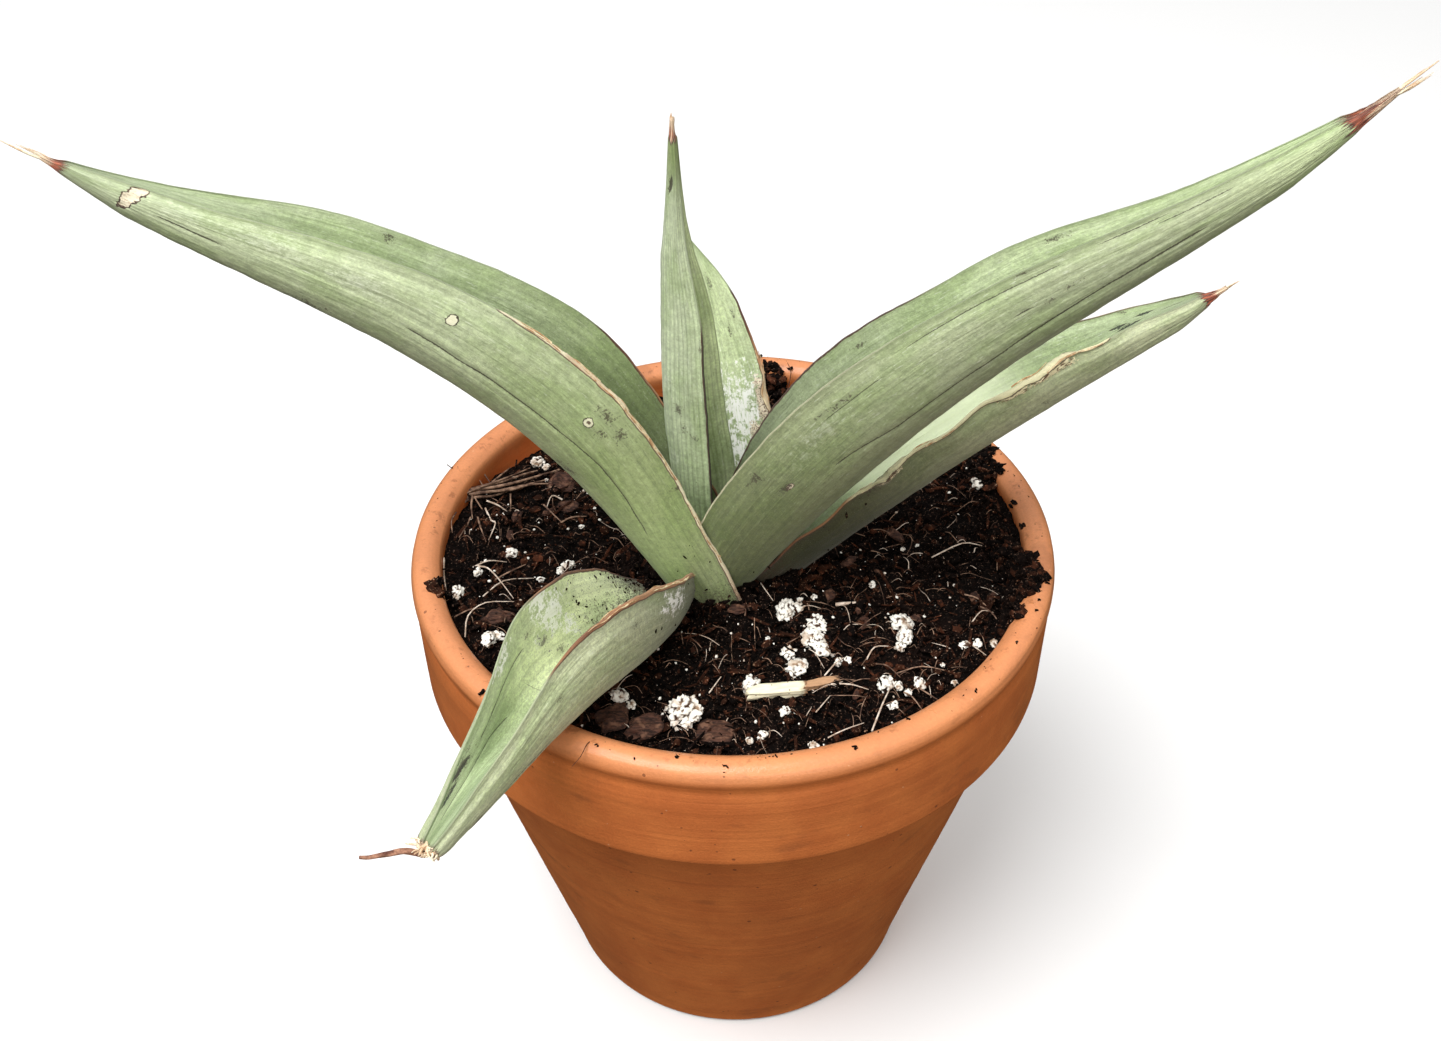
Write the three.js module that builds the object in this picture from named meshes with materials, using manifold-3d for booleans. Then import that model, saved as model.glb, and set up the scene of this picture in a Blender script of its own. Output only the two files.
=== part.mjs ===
// Potted snake plant: six folded, pointed leaves on a short rootstock, in soil in a round clay pot.
// Millimetres, +Z up. The pot stands on z = 0 and its axis is x = y = 0 while the pieces are made; at the
// end the whole plant is moved sideways, so that the middle of its outer box stands over the origin.
// A leaf is a thick blade bent into a channel. Its keel line starts at the foot and is steered by its rise
// above the level, its heading seen from above and its roll about itself, all in degrees.

import * as THREE from "three";
import { mergeVertices } from "three/addons/utils/BufferGeometryUtils.js";
import Module from "manifold-3d";

const wasm = await Module();
wasm.setup();

const gap = 0.3; // clearance kept between neighbouring pieces

const pot = {
  height: 95,
  lipRadius: 53.7,
  lipRound: 2.5,
  collarRadius: 53.5,
  collarHeight: 21.5,
  collarEdge: 1.2,
  collarStep: 0.6, // slant where the body meets the collar's underside
  grooveDepth: 0.7, // shallow groove that sets the lip off from the collar
  bodyRadius: 50.3,
  baseRadius: 33.7,
  baseEdge: 1.5,
  innerTopHeight: 90.5,
  innerBase: 29.5,
  floor: 6.5,
  floorCorner: 3.3, // size of the slanted corner between the floor and the inner wall
  drainRadius: 6,
  sides: 48,
  arcSteps: 3,
};

const soil = {
  crownHeight: 88,
  wallHeights: [92, 92.4, 90, 87.6, 91.2, 89.4, 89.6, 90.2], // round the wall, evenly, from the +x side
  roughness: 0.6,
  rings: 7,
  sectors: 48,
  crumbs: 36,
  crumbSize: [1.1, 2.3],
  seed: 11,
};

// Light grains of perlite on the soil, as [x, y, radius].
const perlite = [
  [-7.7, -37.1, 3.4],
  [2.5, -31.1, 1.6],
  [8.4, -13.2, 2],
  [13.2, -21, 2.7],
  [9.8, -26, 2],
  [26.9, -21.1, 2.4],
  [23, -31.5, 1.7],
  [27.6, -31.6, 1.6],
  [-17.7, -33.2, 1.7],
  [-38.9, -19.5, 1.9],
  [-37.5, -0.3, 1.7],
  [-35, 27, 1.5],
  [43.5, 14.5, 1.6],
];

// Chips of bark and wood lying in the soil: middle, length, width, thickness and turn in degrees.
const chips = [
  { at: [8.7, -32.3], size: [14, 2.4, 1.8], turn: 8 },
  { at: [-3.2, -41.5], size: [8, 4.4, 2.2], turn: -12 },
  { at: [-13.5, -39.5], size: [7, 3.6, 2.2], turn: 35 },
  { at: [-30, 21], size: [9, 4, 2.2], turn: 60 },
  { at: [30, 4], size: [8, 3.6, 2.2], turn: -50 },
];

// Dry root ends showing on the soil: start, end, sideways bow and thickness.
const fibres = [
  { from: [-45, 14], to: [-31, 26], bow: 3, thick: 1 },
  { from: [-44, 8], to: [-27, 22], bow: -3, thick: 0.9 },
  { from: [-43, -3], to: [-33, -12], bow: 4, thick: 1 },
  { from: [-41, -18], to: [-29, -13], bow: 3, thick: 0.9 },
  { from: [17, -31], to: [28, -26], bow: -3, thick: 0.9 },
  { from: [33, -27], to: [21, -36], bow: -2, thick: 0.9 },
];

// The rootstock is a short upright stub with rings, where the old leaves stood.
const rootstock = {
  at: [-2, 0],
  radius: 12.5,
  bottom: 60,
  top: 85.6,
  ringDepth: 0.8,
  rings: 4,
  sides: 20,
};

const blade = {
  keelThickness: 3,
  edgeThinning: 0.62, // share of the thickness lost between keel and margin
  keelSharpness: 0.45, // share of the half width over which the keel bends
  tipFill: [0.7, 0.97], // the channel closes between these shares of the length
  columns: [0, 0.13, 0.32, 0.53, 0.76, 1],
  stationStep: 5,
};

// The leaves, from the one that the others are cut clear of to the one that gives way to all.
// wave: height in mm and count along the leaf of the waves in its margins.
const leaves = {
  leaf_centre: {
    foot: [-3.7, 2, 83.5],
    length: 84,
    rise: [72, 83, 90, 92, 92],
    heading: [164, 167, 170, 173],
    roll: [-8, -4, -1, 4],
    halfWidth: [4, 9.2, 9, 6.5, 2.4, 0.5],
    fold: [69, 74, 79, 83],
    wave: [0.2, 4],
    colour: 0x8f9d80,
  },
  leaf_left: {
    foot: [-6, -4, 81.5],
    length: 124,
    rise: [63, 59, 44, 35.5, 39],
    heading: [189, 188, 188, 183],
    roll: [-12, -2, 10, 16],
    halfWidth: [13, 16.5, 19.4, 15.2, 7.6, 0.5],
    fold: [77, 84, 89, 90],
    wave: [0.4, 6],
    colour: 0xa3b096,
  },
  leaf_right: {
    foot: [-1, -2, 81],
    length: 134,
    rise: [61, 57, 50.5, 43, 46],
    heading: [-41, -28, -16, 1],
    roll: [15, 7, -8, -12],
    halfWidth: [10, 16.5, 17.8, 12.8, 6.5, 0.5],
    fold: [74, 84, 89, 90],
    wave: [0.2, 5],
    colour: 0x9fac91,
  },
  leaf_lower: {
    foot: [6.5, 0, 83.5],
    length: 88,
    rise: [46, 42, 38.5, 35, 39],
    heading: [0, 1, 2, 2],
    roll: [0, -1, -5, -12],
    halfWidth: [9, 11, 11.5, 11, 6.8, 0.5],
    fold: [63, 68, 74, 80],
    wave: [0.8, 7],
    colour: 0x97a686,
  },
  leaf_front: {
    foot: [-10, -4.5, 83.7],
    length: 72,
    rise: [21.5, 18.5, 17, -6, -18],
    heading: [259, 244, 238.5, 230],
    roll: [11, 9, 2, -18],
    halfWidth: [4.6, 13.2, 16.7, 16.8, 9.8, 2.6],
    fold: [58, 81, 97, 100],
    wave: [0.7, 5],
    dryCurl: { length: 9, heading: 183, thickness: [1.6, 0.7] },
    colour: 0x93a27e,
  },
  leaf_back: {
    foot: [1.2, 7.5, 83],
    length: 56,
    rise: [64, 62, 62, 62, 63],
    heading: [99, 104, 110, 114],
    roll: [0, 2, 3, 2],
    halfWidth: [5, 9.2, 8.8, 7.4, 3.6, 0.5],
    fold: [51, 54, 56, 60],
    wave: [0.4, 4],
    colour: 0x9dab74,
  },
};

const clay = { colour: 0xb9663b, roughness: 0.85 };
const earth = { colour: 0x2f2019, roughness: 1 };
const root = { colour: 0xb59a78, roughness: 0.9 };
const leafRoughness = 0.6;

const radians = THREE.MathUtils.degToRad;

// Random numbers from 0 to 1 that are the same in every run.
function randomFrom(seed) {
  let state = seed;
  return () => {
    state = (state * 1664525 + 1013904223) % 4294967296;
    return state / 4294967296;
  };
}

// Smooth curve through evenly spaced values, read at t from 0 to 1.
function through(values, t) {
  const last = values.length - 1;
  const place = THREE.MathUtils.clamp(t, 0, 1) * last;
  const i = Math.min(Math.floor(place), last - 1);
  const f = place - i;
  const a = values[i];
  const b = values[i + 1];
  const before = i === 0 ? 2 * a - b : values[i - 1];
  const after = i === last - 1 ? 2 * b - a : values[i + 2];
  const square = 2 * before - 5 * a + 4 * b - after;
  const cube = 3 * a - before - 3 * b + after;
  return 0.5 * (2 * a + (b - before) * f + square * f * f + cube * f * f * f);
}

// Unit vector from a rise above the level and a heading, both in degrees.
function direction(rise, heading) {
  const up = radians(rise);
  const round = radians(heading);
  return new THREE.Vector3(Math.cos(up) * Math.cos(round), Math.cos(up) * Math.sin(round), Math.sin(up));
}

// Solid from a three.js geometry whose surface is closed.
function solidFrom(geometry) {
  const bare = new THREE.BufferGeometry();
  bare.setAttribute("position", geometry.getAttribute("position"));
  bare.setIndex(geometry.getIndex());
  const merged = mergeVertices(bare, 1e-4);
  const vertProperties = new Float32Array(merged.getAttribute("position").array);
  const triVerts = new Uint32Array(merged.getIndex().array);
  return new wasm.Manifold(new wasm.Mesh({ numProp: 3, vertProperties, triVerts }));
}

// Geometry from points and triangles.
function geometryFrom(points, triangles) {
  const geometry = new THREE.BufferGeometry();
  const numbers = points.flatMap((point) => [point.x, point.y, point.z]);
  geometry.setAttribute("position", new THREE.Float32BufferAttribute(numbers, 3));
  geometry.setIndex(triangles.flat());
  return geometry;
}

// The largest body of a solid, without the scraps that a cut left loose.
function largestBody(solid) {
  return solid.decompose().reduce((best, body) => (body.volume() > best.volume() ? body : best));
}

// Named mesh from a solid.
function meshFrom(name, solid, look) {
  const { vertProperties, triVerts } = solid.getMesh();
  const geometry = new THREE.BufferGeometry();
  geometry.setAttribute("position", new THREE.BufferAttribute(vertProperties, 3));
  geometry.setIndex(new THREE.BufferAttribute(triVerts, 1));
  geometry.computeVertexNormals();
  const { colour: color, roughness } = look;
  const mesh = new THREE.Mesh(geometry, new THREE.MeshStandardMaterial({ color, roughness, metalness: 0 }));
  mesh.name = name;
  return mesh;
}

// Radius of the pot's inner wall at a height: tapered, and upright inside the lip.
function innerRadius(z) {
  const share = (z - pot.floor) / (pot.innerTopHeight - pot.floor);
  return THREE.MathUtils.lerp(pot.innerBase, pot.lipRadius - 2 * pot.lipRound, Math.min(share, 1));
}

// Clay pot: a tapered body, a straight collar, a rolled lip and a drain hole.
function makePot() {
  const collarBottom = pot.height - pot.collarHeight;
  const collarInset = pot.collarRadius - pot.collarEdge;
  const lipMiddle = pot.height - pot.lipRound;
  const outline = new THREE.Path();
  outline.moveTo(pot.drainRadius, 0);
  outline.lineTo(pot.baseRadius - pot.baseEdge, 0);
  outline.absarc(pot.baseRadius - pot.baseEdge, pot.baseEdge, pot.baseEdge, -Math.PI / 2, 0, false);
  outline.lineTo(pot.bodyRadius, collarBottom - pot.collarStep);
  outline.lineTo(pot.bodyRadius + pot.collarStep, collarBottom);
  outline.lineTo(collarInset, collarBottom);
  outline.absarc(collarInset, collarBottom + pot.collarEdge, pot.collarEdge, -Math.PI / 2, 0, false);
  outline.lineTo(pot.collarRadius, lipMiddle - 2 * pot.lipRound);
  outline.lineTo(pot.lipRadius - pot.grooveDepth, lipMiddle - 0.8 * pot.lipRound);
  outline.absarc(pot.lipRadius - pot.lipRound, lipMiddle, pot.lipRound, 0, Math.PI, false);
  outline.lineTo(innerRadius(pot.innerTopHeight), pot.innerTopHeight);
  outline.lineTo(innerRadius(pot.floor + pot.floorCorner), pot.floor + pot.floorCorner);
  outline.lineTo(innerRadius(pot.floor) - pot.floorCorner, pot.floor);
  outline.lineTo(pot.drainRadius, pot.floor);
  outline.lineTo(pot.drainRadius, 0);
  return solidFrom(new THREE.LatheGeometry(outline.getPoints(pot.arcSteps), pot.sides).rotateX(Math.PI / 2));
}

// Height of the soil over a place: level at the crown, banked up unevenly at the wall, and lumpy.
function soilHeight(x, y) {
  const steps = soil.wallHeights.length;
  const place = ((Math.atan2(y, x) / (2 * Math.PI) + 1) % 1) * steps;
  const from = soil.wallHeights[Math.floor(place) % steps];
  const to = soil.wallHeights[Math.ceil(place) % steps];
  const wall = THREE.MathUtils.lerp(from, to, THREE.MathUtils.smoothstep(place % 1, 0, 1));
  const reach = Math.min(1, Math.hypot(x, y) / innerRadius(soil.crownHeight));
  const broad = Math.sin(0.37 * x + 1.3) * Math.cos(0.41 * y - 0.4);
  const narrow = 0.6 * Math.sin(0.83 * x - 0.61 * y + 2);
  const lumps = soil.roughness * (broad + narrow) * (1 - reach ** 4);
  return THREE.MathUtils.lerp(soil.crownHeight, wall, reach ** 2) + lumps;
}

// Filling of the pot up to the soil's surface, clear of the pot's wall and floor.
function makeSoilBody() {
  const turns = Array.from({ length: soil.sectors }, (_, k) => (2 * Math.PI * k) / soil.sectors);
  const around = (reach, turn, z) => new THREE.Vector3(reach * Math.cos(turn), reach * Math.sin(turn), z);
  const loops = [];
  for (let ring = 0; ring <= soil.rings; ring++) {
    loops.push(turns.map((turn) => {
      const rim = soilHeight(pot.lipRadius * Math.cos(turn), pot.lipRadius * Math.sin(turn));
      const radius = (innerRadius(rim) - gap) * Math.max(ring / soil.rings, 0.02);
      const height = soilHeight(radius * Math.cos(turn), radius * Math.sin(turn));
      return around(radius, turn, ring === soil.rings ? rim : height);
    }));
  }
  const cornerTop = pot.floor + pot.floorCorner;
  loops.push(turns.map((turn) => around(innerRadius(cornerTop) - gap, turn, cornerTop + gap)));
  const cornerRadius = innerRadius(pot.floor) - pot.floorCorner - gap;
  loops.push(turns.map((turn) => around(cornerRadius, turn, pot.floor + gap)));
  return solidFrom(skin(loops.reverse(), fanEnd));
}

// Rough grain: a few-sided ball with its corners pushed in and out.
function makeGrain(x, y, radius, random) {
  const ball = new THREE.IcosahedronGeometry(radius, 0);
  const merged = mergeVertices(ball.deleteAttribute("normal").deleteAttribute("uv"));
  const corners = merged.getAttribute("position");
  for (let i = 0; i < corners.count; i++) {
    const stretch = 0.78 + 0.4 * random();
    const corner = new THREE.Vector3().fromBufferAttribute(corners, i).multiplyScalar(stretch);
    corners.setXYZ(i, corner.x, corner.y, corner.z * 0.85);
  }
  merged.rotateZ(random() * Math.PI).translate(x, y, soilHeight(x, y) + radius * 0.15);
  return solidFrom(merged);
}

// Flat chip lying in the soil.
function makeChip(chip) {
  const [x, y] = chip.at;
  const box = new THREE.BoxGeometry(...chip.size);
  const corners = box.getAttribute("position");
  for (let i = 0; i < corners.count; i++) {
    const taper = corners.getX(i) > 0 ? 0.55 : 1;
    corners.setY(i, corners.getY(i) * taper);
  }
  box.rotateZ(radians(chip.turn)).translate(x, y, soilHeight(x, y) + chip.size[2] * 0.2);
  return solidFrom(box);
}

// Root end: a thin tapered rod that bows sideways and lies half sunk in the soil.
function makeFibre(fibre) {
  const steps = 6;
  const [fromX, fromY] = fibre.from;
  const [toX, toY] = fibre.to;
  const along = new THREE.Vector2(toX - fromX, toY - fromY);
  const across = new THREE.Vector2(-along.y, along.x).normalize();
  const points = [];
  for (let i = 0; i <= steps; i++) {
    const t = i / steps;
    const bow = fibre.bow * Math.sin(Math.PI * t);
    const x = fromX + along.x * t + across.x * bow;
    const y = fromY + along.y * t + across.y * bow;
    points.push(new THREE.Vector3(x, y, soilHeight(x, y) + fibre.thick * 0.15));
  }
  return solidFrom(rodGeometry(points, [fibre.thick, fibre.thick * 0.8], 5));
}

// Soil with its grains, chips and root ends.
function makeSoil() {
  const random = randomFrom(soil.seed);
  const edge = innerRadius(soil.crownHeight) - 4;
  let body = makeSoilBody();
  for (let i = 0; i < soil.crumbs; i++) {
    const radius = edge * Math.sqrt(0.09 + 0.91 * random());
    const round = 2 * Math.PI * random();
    const size = soil.crumbSize[0] + (soil.crumbSize[1] - soil.crumbSize[0]) * random();
    body = body.add(makeGrain(radius * Math.cos(round), radius * Math.sin(round), size, random));
  }
  perlite.forEach(([x, y, radius]) => {
    body = body.add(makeGrain(x, y, radius, random));
  });
  chips.forEach((chip) => {
    body = body.add(makeChip(chip));
  });
  fibres.forEach((fibre) => {
    body = body.add(makeFibre(fibre));
  });
  return body;
}

// End of a round loop: a fan of triangles.
function fanEnd(count) {
  return Array.from({ length: count - 2 }, (_, k) => [0, k + 1, k + 2]);
}

// Loops of points, one after another, joined by strips and closed at the first and the last loop.
function skin(loops, closeEnd) {
  const count = loops[0].length;
  const points = loops.flat();
  const triangles = [];
  for (let i = 0; i < loops.length - 1; i++) {
    for (let k = 0; k < count; k++) {
      const a = i * count + k;
      const b = i * count + ((k + 1) % count);
      const sameDiagonal = k < count / 2;
      if (sameDiagonal) {
        triangles.push([a, b, b + count], [a, b + count, a + count]);
      } else {
        triangles.push([a, b, a + count], [b, b + count, a + count]);
      }
    }
  }
  const last = (loops.length - 1) * count;
  closeEnd(count).forEach(([a, b, c]) => {
    triangles.push([a, c, b], [last + a, last + b, last + c]);
  });
  return geometryFrom(points, triangles);
}

// Rod along points, tapering between two thicknesses.
function rodGeometry(points, [thickStart, thickEnd], sides) {
  const curve = new THREE.CatmullRomCurve3(points);
  const frames = curve.computeFrenetFrames(points.length - 1, false);
  const loops = points.map((point, i) => {
    const share = i / (points.length - 1);
    const radius = (thickStart + (thickEnd - thickStart) * share) / 2;
    return Array.from({ length: sides }, (_, k) => {
      const turn = (2 * Math.PI * k) / sides;
      return curve.getPoint(share)
        .addScaledVector(frames.normals[i], radius * Math.cos(turn))
        .addScaledVector(frames.binormals[i], radius * Math.sin(turn));
    });
  });
  return skin(loops, fanEnd);
}

// Keel line of a leaf: at each station the place, the side and up directions and the share of the length.
function keelStations(leaf) {
  const steps = Math.max(16, Math.round(leaf.length / blade.stationStep));
  const point = new THREE.Vector3(...leaf.foot);
  const stations = [];
  for (let i = 0; i <= steps; i++) {
    if (i > 0) {
      const middle = (i - 0.5) / steps;
      const ahead = direction(through(leaf.rise, middle), through(leaf.heading, middle));
      point.addScaledVector(ahead, leaf.length / steps);
    }
    const t = i / steps;
    const ahead = direction(through(leaf.rise, t), through(leaf.heading, t));
    const up = direction(through(leaf.rise, t) + 90, through(leaf.heading, t));
    const side = new THREE.Vector3().crossVectors(ahead, up);
    const roll = radians(through(leaf.roll, t));
    const rolledUp = up.clone().multiplyScalar(Math.cos(roll)).addScaledVector(side, Math.sin(roll));
    const rolledSide = side.clone().multiplyScalar(Math.cos(roll)).addScaledVector(up, -Math.sin(roll));
    stations.push({ t, point: point.clone(), side: rolledSide, up: rolledUp, ahead });
  }
  return stations;
}

// Middle line of a blade's section on one side of the keel: side, up and slope at each column.
function foldedHalf(halfWidth, fold) {
  const slopeAt = (s) => (fold * Math.tanh(s / blade.keelSharpness)) / Math.tanh(1 / blade.keelSharpness);
  const fine = 8;
  let side = 0;
  let up = 0;
  let s = 0;
  return blade.columns.map((column) => {
    const step = (column - s) / fine;
    for (let i = 0; i < fine; i++) {
      const slope = slopeAt(s + (i + 0.5) * step);
      side += halfWidth * step * Math.cos(slope);
      up += halfWidth * step * Math.sin(slope);
    }
    s = column;
    return { share: column, side, up, slope: slopeAt(column) };
  });
}

// Section loop of a leaf at a share of its length: outer face from right to left margin, and back inside.
function bladeLoop(leaf, t, swell) {
  const halfWidth = Math.max(through(leaf.halfWidth, t), 0.5);
  const fold = radians(through(leaf.fold, t));
  const half = foldedHalf(halfWidth, fold);
  const keelRadius = (halfWidth * blade.keelSharpness * Math.tanh(1 / blade.keelSharpness)) / fold;
  const thinLimit = 0.35 * halfWidth + 0.15;
  const margin = half[half.length - 1];
  const fill = 0.85 * THREE.MathUtils.smoothstep(t, ...blade.tipFill);
  const [waveHeight, waveCount] = leaf.wave;
  const ends = Math.sin(Math.PI * Math.min(1, t * 1.05)) ** 0.5;
  const columns = [];
  for (const hand of [1, -1]) {
    const wave = waveHeight * ends * Math.sin(2 * Math.PI * (waveCount * t + 0.3 * hand));
    const list = half.map(({ share, side, up, slope }) => {
      const full = (blade.keelThickness / 2) * (1 - blade.edgeThinning * share * share);
      const outwards = Math.min(full, thinLimit) + swell - wave * share ** 3;
      const inwards = Math.min(full, 0.75 * keelRadius) + wave * share ** 3;
      const outer = [side + Math.sin(slope) * outwards, up - Math.cos(slope) * outwards];
      const inner = [side - Math.sin(slope) * inwards, up + Math.cos(slope) * inwards];
      inner[0] += (share * margin.side - inner[0]) * fill - Math.sin(slope) * swell;
      inner[1] += (margin.up - inner[1]) * fill + Math.cos(slope) * swell;
      return { outer: [hand * outer[0], outer[1]], inner: [hand * inner[0], inner[1]] };
    });
    const thin = (blade.keelThickness / 2) * (1 - blade.edgeThinning);
    const full = Math.min(thin, thinLimit) + swell;
    const edge = [
      hand * (margin.side + Math.cos(margin.slope) * full - Math.sin(margin.slope) * wave),
      margin.up + Math.sin(margin.slope) * full + Math.cos(margin.slope) * wave,
    ];
    columns.push({ list, edge });
  }
  const [right, left] = columns;
  const across = [...right.list.slice(1).reverse(), ...left.list];
  const outer = across.map((column) => column.outer);
  const inner = across.map((column) => column.inner);
  return [...outer, left.edge, ...inner.reverse(), right.edge];
}

// End of a blade: strips between the outer and the inner face, and a corner at each margin.
function bladeEnd(count) {
  const across = (count - 2) / 2;
  const triangles = [];
  for (let j = 0; j < across - 1; j++) {
    const back = 2 * across - j;
    triangles.push([j, j + 1, back - 1], [j, back - 1, back]);
  }
  triangles.push([across - 1, across, across + 1], [0, 2 * across, 2 * across + 1]);
  return triangles;
}

// Leaf as a solid. Swell makes it thicker all round, to cut a neighbour clear of it.
function makeLeaf(leaf, swell = 0) {
  const stations = keelStations(leaf);
  const loops = stations.map(({ t, point, side, up, ahead }) => {
    const lengthen = t === 0 ? -swell : t === 1 ? swell : 0;
    const start = point.clone().addScaledVector(ahead, lengthen);
    return bladeLoop(leaf, t, swell).map(([across, above]) => (
      start.clone().addScaledVector(side, across).addScaledVector(up, above)
    ));
  });
  const solid = solidFrom(skin(loops, bladeEnd));
  return leaf.dryCurl ? solid.add(makeDryCurl(leaf, stations, swell)) : solid;
}

// Dry, curled thread that ends a withered leaf tip.
function makeDryCurl({ dryCurl }, stations, swell) {
  const steps = 7;
  const start = stations[stations.length - 2].point;
  const tip = stations[stations.length - 1].point;
  const points = [start.clone(), tip.clone()];
  const onward = direction(0, dryCurl.heading);
  for (let i = 1; i <= steps; i++) {
    const share = i / steps;
    const sway = new THREE.Vector3(0, 0, 1).multiplyScalar(0.5 * Math.sin(Math.PI * 1.6 * share));
    points.push(tip.clone().addScaledVector(onward, dryCurl.length * share).add(sway));
  }
  const thickness = dryCurl.thickness.map((value) => value + 2 * swell);
  return solidFrom(rodGeometry(points, thickness, 6));
}

// Rootstock: a ringed stub, rounded at both ends, before the leaves' feet are let into it.
function makeRootstock(swell = 0) {
  const { bottom, top, radius, ringDepth, rings, sides } = rootstock;
  const outline = [];
  const steps = 10;
  for (let i = 0; i <= steps; i++) {
    const share = i / steps;
    const round = 0.35 + 0.65 * Math.sqrt(Math.max(0, 1 - (2 * share - 1) ** 4));
    const ring = ringDepth * 0.5 * (1 - Math.cos(2 * Math.PI * rings * share));
    const atAxis = i === 0 || i === steps;
    const reach = atAxis ? 0 : radius * round * (0.72 + 0.28 * share) - ring + swell;
    outline.push(new THREE.Vector2(reach, bottom - swell + (top - bottom + 2 * swell) * share));
  }
  const stub = new THREE.LatheGeometry(outline, sides).rotateX(Math.PI / 2);
  return solidFrom(stub.translate(...rootstock.at, 0));
}

// All pieces, each cut clear of those that come before it.
function makePlant() {
  const pieces = [];
  const swollen = [];
  const clear = (solid, others) => largestBody(others.reduce((kept, other) => kept.subtract(other), solid));
  for (const [name, leaf] of Object.entries(leaves)) {
    const look = { colour: leaf.colour, roughness: leafRoughness };
    pieces.push(meshFrom(name, clear(makeLeaf(leaf), swollen), look));
    swollen.push(makeLeaf(leaf, gap));
  }
  pieces.push(meshFrom("rootstock", clear(makeRootstock(), swollen), root));
  pieces.push(meshFrom("soil", clear(makeSoil(), [...swollen, makeRootstock(gap)]), earth));
  pieces.push(meshFrom("pot", makePot(), clay));
  return pieces;
}

const group = new THREE.Group();
group.add(...makePlant());
const middle = new THREE.Box3().setFromObject(group, true).getCenter(new THREE.Vector3());
group.children.forEach((mesh) => mesh.position.set(-middle.x, -middle.y, 0));

export default group;
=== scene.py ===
import math
import random
from types import SimpleNamespace

import bmesh
import bpy
import numpy as np
from mathutils import Euler, Matrix, Vector, noise


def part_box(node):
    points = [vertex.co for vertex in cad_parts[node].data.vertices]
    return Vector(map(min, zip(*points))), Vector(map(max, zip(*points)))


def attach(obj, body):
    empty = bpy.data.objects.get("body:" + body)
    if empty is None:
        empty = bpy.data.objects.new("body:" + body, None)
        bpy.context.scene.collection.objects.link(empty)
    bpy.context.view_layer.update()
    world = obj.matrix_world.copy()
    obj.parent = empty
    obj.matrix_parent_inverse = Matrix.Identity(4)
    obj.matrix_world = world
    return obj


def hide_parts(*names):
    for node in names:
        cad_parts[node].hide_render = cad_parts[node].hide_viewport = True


# A potted snake plant: six folded leaves on a short rootstock, in soil in a round clay pot. Shapes are
# worked out in millimetres from the pot's axis, and place() puts them into the frame in metres. The pot, the
# soil and the leaves follow the values of the part's source; a few values of the leaves are finer here.

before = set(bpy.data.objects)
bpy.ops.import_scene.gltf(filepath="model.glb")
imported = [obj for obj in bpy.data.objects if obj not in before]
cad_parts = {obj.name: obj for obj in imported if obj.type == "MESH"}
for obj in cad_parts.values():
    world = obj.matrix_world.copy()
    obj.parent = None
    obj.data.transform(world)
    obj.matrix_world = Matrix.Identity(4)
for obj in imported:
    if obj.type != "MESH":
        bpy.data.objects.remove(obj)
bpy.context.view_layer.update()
pot_low, pot_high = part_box("pot")
POT_AXIS = (pot_low + pot_high) / 2
MM = 0.001
AXIS_MM = np.array((POT_AXIS.x / MM, POT_AXIS.y / MM, 0))
FULL_TURN = 2 * math.pi

POT = dict(
    height=95, lip_radius=53.7, lip_round=2.5, collar_radius=53.5, collar_height=21.5, collar_edge=1.2,
    collar_step=0.6, groove_depth=0.7, body_radius=50.3, base_radius=33.7, base_edge=1.5,
    inner_top_height=90.5, inner_base=29.5, floor=6.5, floor_corner=3.3, drain_radius=6, drain_edge=0.6,
)
LIP_MIDDLE = POT["lip_radius"] - POT["lip_round"]
SOIL = dict(crown_height=88, wall_heights=[92, 92.4, 90, 87.6, 91.2, 89.4, 89.6, 90.2], roughness=0.6)
# How many small things are strewn by seeded draws, and how far from the axis they may lie.
STREWN = dict(crumbs=8000, lip_specks=110, perlite_dust=460, bark_bits=34, fine_roots=640)
STREWN_REACH = dict(crumbs=47.2, perlite_dust=46.5, bark_bits=46, fine_roots=46, root_ends=46.8)

# Heaps of crumbs on the soil and against the wall: x, y, reach, top and how many crumbs.
HEAPS = [
    (45.4, 0, 2.6, 93.4, 60), (46, -5, 2.6, 94.4, 80), (47, -9, 2.6, 95.4, 100), (47.6, -12.5, 2.5, 95.8, 120),
    (45.8, -15.5, 2.6, 94.6, 80), (43.6, -20, 2.4, 93.2, 40), (45, 16, 2.6, 94.6, 80), (44, 20.5, 2.8, 95, 100),
    (41.4, 24.4, 3, 94.8, 80), (-14, -3, 5, 90.5, 130), (-13, 3, 6, 91, 110), (2, -8.5, 5, 90.5, 90),
    (-3, -9, 3.5, 91.5, 70), (9, -6, 3.5, 90.5, 70), (16, -3, 4, 90, 50), (38, 27, 6, 93.5, 70),
    (8, 46.5, 3, 95.3, 100), (1, 47, 3, 95.2, 80), (-9, -12, 4, 90, 60), (-47, -13, 2, 93, 30),
]
# Crumbs spilled on the lip: turn in degrees, distance out from the lip's middle, and size.
SPILLED = [
    (1.3, -2.2, 0.9), (-16, 1, 0.5), (-21, 0.5, 0.4), (-24, 0.6, 0.4), (24, -1, 0.7), (8, -2.2, 0.9),
    (83, 1, 0.8), (76, -1.6, 0.8), (82, -2, 0.9), (-136, 1.2, 0.7), (-128, -1, 0.4), (-100, -0.4, 0.35),
    (-92, 0.8, 0.35), (-84, -0.8, 0.4), (-71, 0.4, 0.4), (-60, -1.2, 0.35), (-113, 0.6, 0.35), (-106, 1.2, 0.3),
    (-47, 0.9, 0.35), (-33, 0.2, 0.4), (170, 0.4, 0.3),
]
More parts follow.
